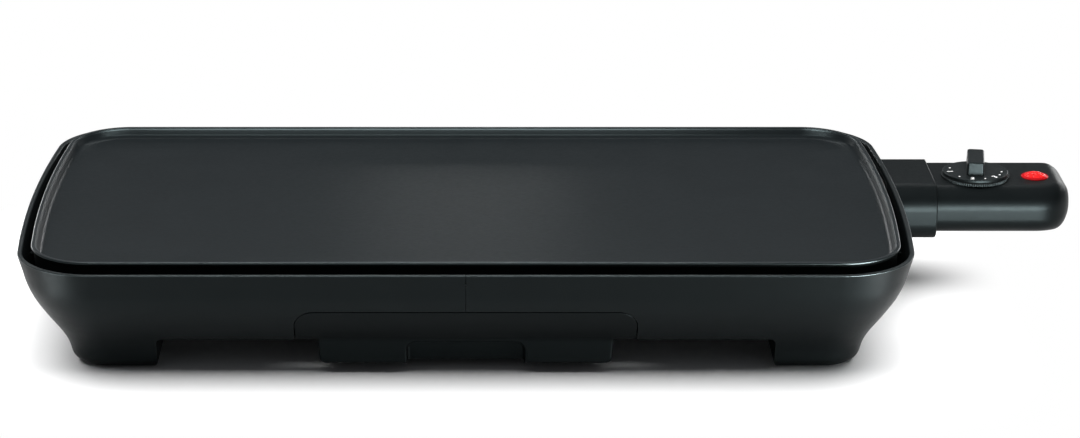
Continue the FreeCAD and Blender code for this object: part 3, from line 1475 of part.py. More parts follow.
knob_body = new_body("dial_knob")
sketch = body_sketch(knob_body, "knob_half", "XZ_Plane")
hub_depth = dial_bottom - size.housing_top - size.seat_gap
draw_polygon(
    sketch,
    [
        (0, -hub_depth),
        (size.hub_radius, -hub_depth),
        (size.hub_radius, 0),
        (size.dial_radius, 0),
        (size.dial_radius, size.dial_thickness - size.dial_chamfer),
        (size.dial_radius - size.dial_chamfer, size.dial_thickness),
        (0, size.dial_thickness),
    ],
)
turned(knob_body, sketch)
sketch = body_sketch(knob_body, "grip_outline", height=size.dial_thickness - size.dial_chamfer)
half = size.grip_width / 2
draw_rounded(
    sketch,
    [(-half, -size.grip_front), (half, -size.grip_front), (half, size.grip_back), (-half, size.grip_back)],
    [size.grip_corner] * 4,
)
grip = pad(knob_body, sketch, size.grip_height + size.dial_chamfer)
grip_top = size.dial_thickness + size.grip_height
rounded_edges(knob_body, grip, lambda edge: lies_at(edge, "z", grip_top), size.grip_edge, "grip_fillet")
sketch = body_sketch(knob_body, "knob_bore", height=-hub_depth)
bore_radius = size.spindle_radius + size.turning_gap
draw_circle(sketch, 0, 0, bore_radius)
bore_depth = hub_depth + size.dial_thickness + size.grip_height / 2
pocket(knob_body, sketch, bore_depth, up=True)
finish(knob_body, "dial_knob")
for path, place in (("x", dial_x + centre_x), ("y", control_y), ("z", dial_bottom)):
    drive(knob_body, "Placement.Base." + path, place)
knob_body.Placement = Placement(knob_body.Placement.Base, Rotation(Vector(0, 0, 1), size.grip_turn.value))
drive(knob_body, "Placement.Rotation.Angle", size.grip_turn)

spindle_body = new_body("dial_spindle")
sketch = body_sketch(spindle_body, "spindle_half", "XZ_Plane")
spindle_low = bracket_low - dial_bottom + size.spindle_lead
spindle_high = bore_depth - hub_depth - size.seat_gap
clip_height = size.bush_length + bracket_low - dial_bottom + size.seat_gap
groove = size.spindle_radius - size.groove_depth
draw_polygon(
    sketch,
    [
        (0, spindle_low),
        (size.spindle_radius, spindle_low),
        (size.spindle_radius, clip_height),
        (groove, clip_height),
        (groove, clip_height + size.groove_width),
        (size.spindle_radius, clip_height + size.groove_width),
        (size.spindle_radius, spindle_high - size.spindle_chamfer),
        (size.spindle_radius - size.spindle_chamfer, spindle_high),
        (0, spindle_high),
    ],
)
turned(spindle_body, sketch)
finish(spindle_body, "dial_spindle")
clip_body = new_body("knob_clip")
sketch = body_sketch(clip_body, "clip_ring", height=clip_height + size.turning_gap)
draw_circle(sketch, 0, 0, size.spindle_radius + size.clip_width)
draw_circle(sketch, 0, 0, groove + size.turning_gap)
pad(clip_body, sketch, size.clip_thickness)
sketch = body_sketch(clip_body, "clip_mouth", height=clip_height + size.groove_width + PAST)
mouth_half = groove * size.clip_mouth_share
draw_rectangle(sketch, 0, size.spindle_radius + size.clip_width + PAST, -mouth_half, mouth_half)
pocket(clip_body, sketch, size.groove_width + 2 * PAST)
finish(clip_body, "knob_clip")
for item in (spindle_body, clip_body):
    for path, place in (("x", dial_x + centre_x), ("y", control_y), ("z", dial_bottom)):
        drive(item, "Placement.Base." + path, place)

# Pilot light: a domed lens with a stem, and the lamp below it

lens_body = new_body("pilot_lens")
sketch = body_sketch(lens_body, "lens_half", "XZ_Plane")
stem = size.housing_wall + size.lens_stem_reach
draw_polygon(
    sketch,
    [
        (0, -stem),
        (size.lens_stem_radius, -stem),
        (size.lens_stem_radius, 0),
        (size.lens_radius, 0),
        (size.lens_radius, size.lens_rim),
        (0, size.lens_rim),
    ],
)
turned(lens_body, sketch)
dome = doc.addObject("Part::Sphere", "lens_dome_ball")
ball_radius = (size.lens_radius * size.lens_radius + size.lens_dome * size.lens_dome) / (2 * size.lens_dome)
drive(dome, "Radius", ball_radius)
drive(dome, "Placement.Base.z", size.lens_dome + size.lens_rim - ball_radius)
dome_slice = rod("lens_dome_slice", size.lens_radius, size.lens_dome + PAST, (0, 0, size.lens_rim / 2))
lens_top = overlap("lens_dome", [dome, dome_slice])
lens = fuse("pilot_lens", [lens_body, lens_top])
finish(lens, "pilot_lens")
lens_base = size.housing_top + size.turning_gap
for path, place in (("x", lens_x + centre_x), ("y", control_y), ("z", lens_base)):
    drive(lens, "Placement.Base." + path, place)
lamp_top = size.housing_top - stem - gap
lamp_start = (lens_x, control_y, lamp_top - size.lamp_length)
lamp_barrel = rod("lamp_barrel", size.lamp_radius, size.lamp_length - size.lamp_radius, lamp_start)
lamp_tip = doc.addObject("Part::Sphere", "lamp_tip")
drive(lamp_tip, "Radius", size.lamp_radius)
for path, place in zip("xyz", (lens_x, control_y, lamp_top - size.lamp_radius)):
    drive(lamp_tip, "Placement.Base." + path, place)
finish(fuse("neon_lamp", [lamp_barrel, lamp_tip]), "neon_lamp")

# Cord gland on the control's rear side, with a bore and no cord

gland_out = control_y + size.housing_rear
gland_in = gland_out - size.gland_inside
gland_barrel = rod(
    "gland_barrel", size.gland_radius, size.gland_length, (gland_x, gland_in, size.probe_height), "y"
)
gland_flange = rod(
    "gland_flange", size.gland_radius + size.gland_flange_width, size.gland_flange,
    (gland_x, gland_out + gap, size.probe_height), "y",
)
gland_through = rod(
    "gland_through", size.gland_bore, size.gland_length + 2 * PAST,
    (gland_x, gland_in - PAST, size.probe_height), "y",
)
finish(cut("cord_gland", fuse("gland_outside", [gland_barrel, gland_flange]), gland_through), "cord_gland")

# Check every object, then write one file for each sub-part

doc.recompute()
faults = [item.Name for item in doc.Objects if "Invalid" in item.State or "Error" in item.State]
if faults:
    raise RuntimeError("objects with faults: {}".format(faults))
for name, item in finished:
    if item.Shape.isNull() or not item.Shape.isValid() or not item.Shape.Solids:
        raise RuntimeError("bad shape: {}".format(name))
os.makedirs("parts", exist_ok=True)
for name, item in finished:
    item.Shape.exportStep("parts/{}.step".format(name))
    print(name, "solids", len(item.Shape.Solids), "volume", round(item.Shape.Volume, 1))
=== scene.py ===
import logging
import math
from dataclasses import dataclass, replace
from enum import Enum
from typing import Any, Callable, Sequence

import bmesh
import bpy
import numpy as np
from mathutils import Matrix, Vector


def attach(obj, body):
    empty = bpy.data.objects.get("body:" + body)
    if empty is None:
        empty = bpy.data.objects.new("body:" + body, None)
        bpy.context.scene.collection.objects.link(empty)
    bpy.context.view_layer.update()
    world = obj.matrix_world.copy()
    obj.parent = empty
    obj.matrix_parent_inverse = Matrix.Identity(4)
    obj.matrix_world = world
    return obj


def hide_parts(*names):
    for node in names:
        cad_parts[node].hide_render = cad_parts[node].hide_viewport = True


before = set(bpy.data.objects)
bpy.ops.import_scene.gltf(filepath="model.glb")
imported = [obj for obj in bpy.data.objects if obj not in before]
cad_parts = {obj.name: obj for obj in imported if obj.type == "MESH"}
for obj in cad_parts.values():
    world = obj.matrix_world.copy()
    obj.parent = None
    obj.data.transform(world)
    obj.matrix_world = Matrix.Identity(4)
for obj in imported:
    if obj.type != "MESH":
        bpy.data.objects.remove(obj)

# Looks of the electric plancha. Shapes are worked out in millimetres from the middle of the
# base, with +X to the control, -Y to the front and Z = 0 on the table, and each piece is moved
# to the frame's metres when its mesh is made. OVERLAP is how far a cutter or an added form
# passes the face that it meets.

LOG = logging.getLogger("plancha")
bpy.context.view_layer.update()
MM = 0.001
BASE_MIDDLE = np.array([-49.5, 0.0])
JOIN_DISTANCE = 2e-6
OVERLAP = 1.0

Point = Sequence[float]
Span = tuple[float, float]
Block = tuple[Point, Point]
Colour = tuple[float, float, float]


class Mix(Enum):
    """How one solid changes another."""

    CUT = "DIFFERENCE"
    ADD = "UNION"
    KEEP = "INTERSECT"


class End(Enum):
    """How the first or last ring of a skin is closed."""

    FLAT = "flat"
    MEETING = "meeting"


class Plane(Enum):
    """The plane of an outline that is carried along the remaining axis."""

    SIDE = (1, 2, 0)
    FRONT = (0, 2, 1)
    TOP = (0, 1, 2)


BOTH_MEETING = (End.MEETING, End.MEETING)


# Outlines and profiles


def quarter(steps: int) -> np.ndarray:
    """Angles from 0 to a right angle in even steps, as many as asked for."""
    return np.linspace(0.0, math.pi / 2, steps)


def full_turn(steps: int) -> np.ndarray:
    """Angles of a whole turn in even steps, without its end."""
    return np.linspace(0.0, 2 * math.pi, steps, endpoint=False)


def circle(centre: Point, radius: Any, height: Any, angle: np.ndarray) -> np.ndarray:
    """Points round an upright axis: the axis plus the radius times cosine and sine.

    Args:
        centre: the axis' place along X and Y.
        radius: the radius, one for all points or one for each.
        height: the height, one for all points or one for each.
        angle: the points' angles.

    Returns:
        The points.
    """
    x = centre[0] + radius * np.cos(angle)
    y = centre[1] + radius * np.sin(angle)
    return np.stack([x, y, np.broadcast_to(height, angle.shape)], axis=-1)


def span(side: int, near: float, far: float) -> Span:
    """A stretch on one side of the middle line, with its lower end first."""
    low, high = sorted((side * near, side * far))
    return low, high


def rounded_outline(
    low: Point, high: Point, radii: Sequence[float], steps: int = 8, inset: float = 0.0
) -> np.ndarray:
    """A rectangle with a quarter circle at each corner.

    At each corner the point is the circle's centre plus the radius times the cosine and sine
    of an angle that sweeps a right angle.

    Args:
        low: lowest corner.
        high: highest corner.
        radii: radius at the lower left, lower right, upper right and upper left corner.
        steps: points on each quarter circle.
        inset: how far every side and radius is drawn in, or grown where it is negative.

    Returns:
        Points of the closed outline, turning from the first axis to the second.
    """
    (left, lower), (right, upper) = np.add(low, inset), np.subtract(high, inset)
    corners = np.array([[left, lower], [right, lower], [right, upper], [left, upper]])
    inward = np.array([[1, 1], [-1, 1], [-1, -1], [1, -1]])
    radius = np.maximum(np.subtract(radii, inset), 0.0)[:, None]
    centre = corners + inward * radius
    angle = np.radians([180.0, 270.0, 0.0, 90.0])[:, None] + quarter(steps)[None, :]
    first = centre[:, :1] + radius * np.cos(angle)
    second = centre[:, 1:] + radius * np.sin(angle)
    return np.stack([first.ravel(), second.ravel()], axis=-1)


def smooth_through(points: Sequence[Point], steps: int) -> np.ndarray:
    """A smooth line through given points.

    Between two points the place is the cubic whose slopes at both ends are half the way from
    the point before to the point after.

    Args:
        points: the points to pass through.
        steps: parts between two points.

    Returns:
        Points of the smooth line.
    """
    given = np.array(points, float)
    padded = np.vstack([2 * given[0] - given[1], given, 2 * given[-1] - given[-2]])
    t = np.linspace(0.0, 1.0, steps, endpoint=False)[None, :, None]
    a, b, c, d = (padded[k : k + len(given) - 1, None, :] for k in range(4))
    squared, cubed = 2 * a - 5 * b + 4 * c - d, 3 * b - a - 3 * c + d
    line = 0.5 * (2 * b + (c - a) * t + squared * t**2 + cubed * t**3)
    return np.vstack([line.reshape(-1, given.shape[1]), given[-1:]])


def edge_profile(radius: float, steps: int = 5) -> list[Span]:
    """A rounded edge as pairs of inset and depth, from the face round to the side.

    The inset is the radius less the radius times the sine of an angle, the depth the radius
    less the radius times its cosine.

    Args:
        radius: the edge's radius.
        steps: points of the rounding.

    Returns:
        Pairs of inset and depth.
    """
    angle = quarter(steps)
    return list(zip(radius * (1 - np.sin(angle)), radius * (1 - np.cos(angle))))


def side_to_face(radius: float, steps: int = 5) -> list[Span]:
    """The same rounded edge the other way, from the side round to the face."""
    return edge_profile(radius, steps)[::-1]


@dataclass(frozen=True)
class BowedOutline:
    """The plancha's outline: straight front and back, slightly bowed ends and round corners."""

    half_x: float
    half_y: float
    corner: float
    bow: float = 1110.0
    corner_steps: int = 28
    end_steps: int = 20
    straight_steps: int = 10

    def right_half(self, inset: float, closing: float = 1.0, seam: float = 0.0) -> np.ndarray:
        """The half from the front's middle round the right-hand end to the back's middle.

        A straight run, a corner circle, the bow's large circle, a corner circle and a straight
        run follow each other, each circle as centre plus radius times cosine and sine.

        Args:
            inset: how far the outline lies inside the full one.
            closing: how fast the corner radius shrinks with the inset.
            seam: where the half starts and ends along X.

        Returns:
            Points of the open half outline.
        """
        half_x, half_y = self.half_x - inset, self.half_y - inset
        radius = max(self.corner - inset * closing, 1.0)
        bow_centre = half_x - self.bow
        corner_x = bow_centre + math.sqrt((self.bow - radius) ** 2 - (half_y - radius) ** 2)
        swing = math.atan2(half_y - radius, corner_x - bow_centre)
        run = np.linspace(seam, corner_x, self.straight_steps, endpoint=False)
        front = np.stack([run, np.full_like(run, -half_y)], axis=-1)
        turn = np.linspace(-math.pi / 2, -swing, self.corner_steps, endpoint=False)
        corner = circle((corner_x, radius - half_y), radius, 0.0, turn)[:, :2]
        end = circle((bow_centre, 0.0), self.bow, 0.0, np.linspace(-swing, 0.0, self.end_steps))
        lower = np.vstack([front, corner, end[:, :2]])
        return np.vstack([lower, lower[-2::-1] * np.array([1.0, -1.0])])

    def whole(self, inset: float, closing: float = 1.0) -> np.ndarray:
        """The closed outline, made of the right half and its mirror image.

        Args:
            inset: how far the outline lies inside the full one.
            closing: how fast the corner radius shrinks with the inset.

        Returns:
            Points of the closed outline.
        """
        right = self.right_half(inset, closing)
        return np.vstack([right, right[-2:0:-1] * np.array([-1.0, 1.0])])


# Meshes and solids


def lifted(outline: np.ndarray, place: float, plane: Plane = Plane.TOP) -> np.ndarray:
    """A flat outline put at a place along the axis that its plane leaves free.

    Args:
        outline: points of the outline.
        place: the place along the free axis.
        plane: the plane of the outline.

    Returns:
        The same points with three coordinates.
    """
    first, second, free = plane.value
    points = np.zeros((len(outline), 3))
    points[:, first], points[:, second], points[:, free] = outline[:, 0], outline[:, 1], place
    return points


def rows(parts: Any, name: str) -> np.ndarray:
    """A property with three values of a mesh's vertices or faces.

    Args:
        parts: the vertices or the faces.
        name: the property's name.

    Returns:
        The values, a row for each vertex or face.
    """
    values = np.empty(len(parts) * 3, np.float32)
    parts.foreach_get(name, values)
    return values.reshape(-1, 3)


def linked(name: str, data: bpy.types.ID) -> bpy.types.Object:
    """A new object in the scene.

    Args:
        name: the object's name.
        data: the mesh, curve, lamp or camera that it carries.

    Returns:
        The object.
    """
    made = bpy.data.objects.new(name, data)
    bpy.context.scene.collection.objects.link(made)
    return made


def skin(
    name: str, rings: Sequence[np.ndarray], ends: tuple[End, End] = (End.FLAT, End.FLAT)
) -> bpy.types.Object:
    """A closed solid whose skin is stretched over rings of points, with its faces outwards.

    The surface has two parameters: the ring's number and the point's number round the ring.
    Points that meet are merged.

    Args:
        name: the object's name.
        rings: rings with the same number of points each.
        ends: how the first and the last ring are closed.

    Returns:
        The solid, as an object at the frame's origin.
    """
    grid = np.array(rings, float)
    levels, around = grid.shape[:2]
    level, point = np.meshgrid(np.arange(levels - 1), np.arange(around), indexing="ij")
    following = (point + 1) % around
    corners = [level * around + point, level * around + following]
    corners += [(level + 1) * around + following, (level + 1) * around + point]
    faces = np.stack(corners, axis=-1).reshape(-1, 4).tolist()
    if ends[0] is End.FLAT:
        faces.append(list(range(around))[::-1])
    if ends[1] is End.FLAT:
        faces.append(list(range((levels - 1) * around, levels * around)))
    places = grid.reshape(-1, 3) * MM
    places[:, :2] += BASE_MIDDLE * MM
    mesh = bpy.data.meshes.new(name)
    mesh.from_pydata(places.tolist(), [], faces)
    work = bmesh.new()
    work.from_mesh(mesh)
    bmesh.ops.remove_doubles(work, verts=work.verts, dist=JOIN_DISTANCE)
    if work.calc_volume(signed=True) < 0:
        bmesh.ops.reverse_faces(work, faces=work.faces)
    work.to_mesh(mesh)
    work.free()
    return linked(name, mesh)


def turned(name: str, profile: Sequence[Span], centre: Point, around: int = 64) -> bpy.types.Object:
    """A solid of revolution about an upright axis.

    Args:
        name: the object's name.
        profile: pairs of radius and height, from the axis out and back to it.
        centre: the axis' place along X and Y.
        around: points round the axis.

    Returns:
        The solid.
    """
    angle = full_turn(around)
    return skin(name, [circle(centre, r, z, angle) for r, z in profile], BOTH_MEETING)


def rounded_block(
    name: str,
    block: Block,
    plane: Plane = Plane.TOP,
    radii: float | Sequence[float] = 1.0,
    edges: Span = (0.3, 0.3),
    steps: int = 6,
) -> bpy.types.Object:
    """A block with rounded corners in one plane and rounded edges at both of its ends.

    Each ring is the plane's rounded outline, drawn in by the inset that the edge profile gives
    for its depth.

    Args:
        name: the object's name.
        block: its lowest and its highest corner.
        plane: the plane of the rounded outline.
        radii: one corner radius, or four as rounded_outline takes them.
        edges: edge radius at the low and at the high end.
        steps: points on each quarter circle.

    Returns:
        The solid.
    """
    low, high = block
    first, second, free = plane.value
    corner_radii = [radii] * 4 if isinstance(radii, (int, float)) else list(radii)
    stations = [(inset, low[free] + depth) for inset, depth in edge_profile(edges[0])]
    stations += [(inset, high[free] - depth) for inset, depth in side_to_face(edges[1])]
    corners = (low[first], low[second]), (high[first], high[second])
    rings = [
        lifted(rounded_outline(*corners, corner_radii, steps, inset), place, plane)
        for inset, place in stations
    ]
    return skin(name, rings)


def rod(
    name: str, radius: float, start: Point, length: float, axis: int = 2, around: int = 40
) -> bpy.types.Object:
    """A round bar along one axis: its circles' points are radius times cosine and sine.

    Args:
        name: the object's name.
        radius: the bar's radius.
        start: middle of its first end.
        length: its length.
        axis: 0, 1 or 2 for X, Y or Z.
        around: points round the bar.

    Returns:
        The solid.
    """
    angle = full_turn(around)
    ring = np.zeros((around, 3))
    ring[:, (axis + 1) % 3] = radius * np.cos(angle)
    ring[:, (axis + 2) % 3] = radius * np.sin(angle)
    step = np.zeros(3)
    step[axis] = length
    return skin(name, [ring + np.array(start, float), ring + np.array(start, float) + step])


def mixed(target: bpy.types.Object, tool: bpy.types.Object, how: Mix) -> None:
    """Change one solid by another, keep the result as a plain mesh and remove the other.

    Args:
        target: the solid that is changed.
        tool: the solid that changes it.
        how: cut away, added or kept in common.
    """
    step = target.modifiers.new("mix", "BOOLEAN")
    step.operation = how.value
    step.solver = "EXACT"
    step.object = tool
    graph = bpy.context.evaluated_depsgraph_get()
    result = bpy.data.meshes.new_from_object(target.evaluated_get(graph))
    target.modifiers.clear()
    used = (target.data, tool.data)
    target.data = result
    result.name = target.name
    bpy.data.objects.remove(tool)
    for mesh in used:
        bpy.data.meshes.remove(mesh)


def finished(
    item: bpy.types.Object,
    body: str,
    finish: "Finish",
    replaces: Sequence[str] = (),
    crease: float = 32.0,
) -> None:
    """Shade a piece, dress it, and let it ride on its body.

    Args:
        item: the piece.
        body: the body that it moves with.
        finish: its finish.
        replaces: the nodes that it stands for.
        crease: edges that bend more than this many degrees stay crisp.
    """
    work = bmesh.new()
    work.from_mesh(item.data)
    bmesh.ops.remove_doubles(work, verts=work.verts, dist=JOIN_DISTANCE)
    bmesh.ops.dissolve_degenerate(work, edges=work.edges, dist=JOIN_DISTANCE)
    work.to_mesh(item.data)
    work.free()
    item.data.shade_smooth()
    item.data.set_sharp_from_angle(angle=math.radians(crease))
    weighted = item.modifiers.new("even_shading", "WEIGHTED_NORMAL")
    weighted.keep_sharp = True
    finish.dress(item)
    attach(item, body)
    if replaces:
        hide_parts(*replaces)
    LOG.info("%s rides on %s, %d faces", item.name, body, len(item.data.polygons))


def painted(
    item: bpy.types.Object,
    finish: "Finish",
    choose: Callable[[np.ndarray, np.ndarray], np.ndarray],
) -> None:
    """Dress some faces of a finished piece in a further finish of the same slot.

    Args:
        item: the piece.
        finish: the further finish.
        choose: picks the faces by their normals and their middles in millimetres, both in rows.
    """
    mesh = item.data
    wearing = np.empty(len(mesh.polygons), np.int32)
    mesh.polygons.foreach_get("material_index", wearing)
    chosen = choose(rows(mesh.polygons, "normal"), rows(mesh.polygons, "center") / MM)
    wearing[chosen] = len(mesh.materials)
    mesh.materials.append(finish.material())
    mesh.polygons.foreach_set("material_index", wearing)
    mesh.update()


# Finishes


@dataclass(frozen=True)
class Graph:
    """A node tree that is filled by naming nodes and what their inputs take."""

    tree: bpy.types.NodeTree

    def node(self, kind: str, inputs: dict[Any, Any], **settings: Any) -> bpy.types.Node:
        """Add a node.

        Args:
            kind: its type, without the ShaderNode at the start.
            inputs: a socket to link or a value to set, for each input's name or number.
            settings: its other settings, which are made first.

        Returns:
            The node.
        """
        made = self.tree.nodes.new("ShaderNode" + kind)
        for name, value in settings.items():
            setattr(made, name, value)
        self.feed(made, inputs)
        return made

    def feed(self, node: bpy.types.Node, inputs: dict[Any, Any]) -> None:
        """Link or set a node's inputs.

        Args:
            node: the node.
            inputs: a socket to link or a value to set, for each input's name or number.
        """
        for name, value in inputs.items():
            if isinstance(value, bpy.types.NodeSocket):
                self.tree.links.new(value, node.inputs[name])
            else:
                node.inputs[name].default_value = value

    def math(self, operation: str, first: Any, second: Any) -> bpy.types.NodeSocket:
        """The result of a sum, product or comparison of two values."""
        return self.node("Math", {0: first, 1: second}, operation=operation).outputs["Value"]

    def blend(self, share: Any, first: Any, second: Any) -> bpy.types.NodeSocket:
        """A colour between two, by the second one's share."""
        inputs = {"Factor": share, "A": first, "B": second}
        return self.node("Mix", inputs, data_type="RGBA").outputs["Result"]

    def noise(self, place: Any, scale: float, detail: float) -> bpy.types.NodeSocket:
        """One noise on the given coordinates, by its fineness and its number of finer layers."""
        inputs = {"Vector": place, "Scale": scale, "Detail": detail}
        return self.node("TexNoise", inputs).outputs["Fac"]


@dataclass(frozen=True)
class Finish:
    """A surface finish: its colours, gloss and grain."""

    name: str
    slot: str
    colour: Colour
    second_colour: Colour
    roughness: float = 0.4
    roughness_spread: float = 0.06
    metallic: float = 0.0
    specular: float = 0.5
    tint: Colour = (1.0, 1.0, 1.0)
    wear: float = 0.0
    worn_colour: Colour = (0.16, 0.17, 0.17)
    worn_reach: float = 0.0005
    worn_bend: Span = (0.995, 0.90)
    grain_scale: float = 2600.0
    grain_depth: float = 0.00003
    mottle_scale: float = 60.0
    brush_stretch: Colour | None = None
    glow: float = 0.0
    clearness: float = 0.0

    def dress(self, item: bpy.types.Object) -> None:
        """Let a piece or a node wear the finish alone.

        Args:
            item: the piece or the node.
        """
        item.data.materials.clear()
        item.data.materials.append(self.material())

    def material(self) -> bpy.types.Material:
        """The finish as a material, made once and used by every piece that wears it."""
        known = bpy.data.materials.get(self.name)
        return known if known is not None else self.made()

    def made(self) -> bpy.types.Material:
        """Build the finish from noise on the object's own coordinates.

        A coarse noise mixes the two colours, a finer one spreads the roughness, and the finest
        one is the grain's height.

        Returns:
            The material.
        """
        made = bpy.data.materials.new(self.name)
        made.use_nodes = True
        graph = Graph(made.node_tree)
        place = graph.node("TexCoord", {}).outputs["Object"]
        if self.brush_stretch:
            mapping = graph.node("Mapping", {"Vector": place, "Scale": self.brush_stretch})
            place = mapping.outputs["Vector"]
        mottle = graph.noise(place, self.mottle_scale, 4.0)
        colour = graph.blend(mottle, (*self.colour, 1.0), (*self.second_colour, 1.0))
        inputs = {
            "Value": graph.noise(place, self.mottle_scale * 6, 3.0),
            "To Min": self.roughness - self.roughness_spread,
            "To Max": self.roughness + self.roughness_spread,
        }
        spread = graph.node("MapRange", inputs)
        grain = graph.noise(place, self.grain_scale, 2.0)
        bump = graph.node("Bump", {"Height": grain, "Strength": 1.0, "Distance": self.grain_depth})
        inputs = {
            "Base Color": self.worn(graph, colour, mottle),
            "Metallic": self.metallic,
            "Roughness": spread.outputs["Result"],
            "Normal": bump.outputs["Normal"],
            "Specular IOR Level": self.specular,
            "Specular Tint": (*self.tint, 1.0),
            "Transmission Weight": self.clearness,
            "Emission Strength": self.glow,
            "Emission Color": (*self.colour, 1.0),
        }
        graph.feed(made.node_tree.nodes["Principled BSDF"], inputs)
        return made

    def worn(
        self, graph: Graph, colour: bpy.types.NodeSocket, mottle: bpy.types.NodeSocket
    ) -> bpy.types.NodeSocket:
        """The colour with edges that are rubbed a little lighter, unevenly along their length.

        Where the face's normal and one that is smoothed over a short reach differ, there is an
        edge.

        Args:
            graph: the material's graph.
            colour: the colour away from the edges.
            mottle: the coarse noise.

        Returns:
            The colour with wear.
        """
        normal = graph.node("NewGeometry", {}).outputs["Normal"]
        smoothed = graph.node("Bevel", {"Radius": self.worn_reach}, samples=4).outputs["Normal"]
        bend = graph.node("VectorMath", {0: normal, 1: smoothed}, operation="DOT_PRODUCT")
        least, full = self.worn_bend
        inputs = {"Value": bend.outputs["Value"], "From Min": least, "From Max": full}
        edge = graph.node("MapRange", {**inputs, "To Max": self.wear})
        uneven = graph.math("MULTIPLY", edge.outputs["Result"], mottle)
        return graph.blend(uneven, colour, (*self.worn_colour, 1.0))


COOL = (0.76, 0.97, 1.0)
FINE_GRAIN = 0.000004
BASE_PLASTIC = Finish(
    "base_satin_black", "base_plastic", (0.0018, 0.0024, 0.0026), (0.0028, 0.0036, 0.0039),
    roughness=0.42, specular=0.11, tint=COOL, wear=0.08,
)
BASE_RIM = replace(
    BASE_PLASTIC, name="base_rim_black", roughness=0.32, specular=0.62, grain_depth=FINE_GRAIN,
)
BASE_INSIDE = Finish(
    "base_inside_black", "base_plastic", (0.0016, 0.0020, 0.0021), (0.0028, 0.0034, 0.0036),
    roughness=0.60, specular=0.05, tint=COOL,
)
INNER_PLASTIC = Finish(
    "inner_black", "inner_plastic", (0.005, 0.006, 0.006), (0.009, 0.010, 0.010),
    roughness=0.62, specular=0.25, tint=COOL,
)
DRAWER_PLASTIC = Finish(
    "drawer_satin_black", "drawer_plastic", (0.0014, 0.0019, 0.0021), (0.0022, 0.0029, 0.0031),
    specular=0.085, tint=COOL, wear=0.10,
)
CONTROL_PLASTIC = Finish(
    "control_satin_black", "control_plastic", (0.0024, 0.0031, 0.0033), (0.0038, 0.0047, 0.0050),
    specular=0.11, tint=COOL, wear=0.12,
)
DIAL_PLASTIC = Finish(
    "dial_black", "dial_plastic", (0.0045, 0.0056, 0.0060), (0.0075, 0.0090, 0.0094),
    roughness=0.38, specular=0.15, tint=COOL, wear=0.25,
)
NONSTICK = Finish(
    "nonstick_dark_grey", "nonstick_plate", (0.0044, 0.0056, 0.0062), (0.0066, 0.0082, 0.0090),
    roughness=0.32, specular=0.11, tint=COOL, wear=0.12, grain_scale=700.0,
)
PLATE_RIM = replace(
    NONSTICK,
    name="plate_rim_dark_grey", roughness=0.30, specular=0.42, grain_scale=2600.0,
    grain_depth=FINE_GRAIN,
)
# Bare metal under the coat, made darker and duller as painted shade for the skirt below the rim.
BARE_SHADED_UNDERSIDE = Finish(
    "plate_underside_painted_shade", "nonstick_plate", (0.0016, 0.0020, 0.0021), (0.0030, 0.0036, 0.0038),
    roughness=0.70, specular=0.08, tint=COOL,
)
REFLECTOR_STEEL = Finish(
    "bright_reflector_sheet", "reflector_steel", (0.58, 0.58, 0.59), (0.66, 0.66, 0.66),
    roughness=0.30, metallic=1.0, brush_stretch=(1.0, 40.0, 40.0), grain_depth=0.00001,
)
SHEATH_STEEL = Finish(
    "dull_element_sheath", "sheath_steel", (0.32, 0.30, 0.28), (0.42, 0.41, 0.40),
    roughness=0.42, metallic=1.0,
)
SCREW_STEEL = Finish(
    "zinc_screw", "screw_steel", (0.52, 0.53, 0.55), (0.62, 0.62, 0.63),
    roughness=0.32, metallic=1.0,
)
INSULATOR = Finish(
    "phenolic_brown", "insulator", (0.05, 0.032, 0.024), (0.075, 0.05, 0.038), roughness=0.5,
)
BRASS = Finish(
    "contact_brass", "contact_brass", (0.72, 0.56, 0.28), (0.80, 0.64, 0.36),
    roughness=0.28, metallic=1.0,
)
RUBBER = Finish(
    "pad_rubber", "pad_rubber", (0.015, 0.015, 0.015), (0.024, 0.024, 0.024), roughness=0.8,
)
RED_LENS = Finish(
    "red_lens", "red_lens", (0.70, 0.0, 0.003), (0.86, 0.002, 0.006),
    roughness=0.22, roughness_spread=0.05, specular=0.03, tint=(1.0, 0.10, 0.10),
    grain_depth=0.000005, glow=0.25,
)
# The lens rim's darker red, which is also painted as shade in the lens's folds and round the dome's
# edge.
LENS_RIM_AND_FOLD_SHADE = Finish(
    "red_lens_rim_and_fold_shade", "red_lens", (0.22, 0.0, 0.002), (0.32, 0.001, 0.003),
    roughness=0.30, roughness_spread=0.04, specular=0.12, tint=(1.0, 0.4, 0.4),
    grain_depth=0.000005,
)
LAMP_GLASS = Finish(
    "lamp_glass", "lamp_glass", (0.85, 0.80, 0.74), (0.90, 0.86, 0.80),
    roughness=0.06, clearness=0.9,
)
MARKING_WHITE = Finish(
    "marking_white", "dial_plastic", (0.70, 0.71, 0.70), (0.78, 0.78, 0.77), roughness=0.5,
)


# Base


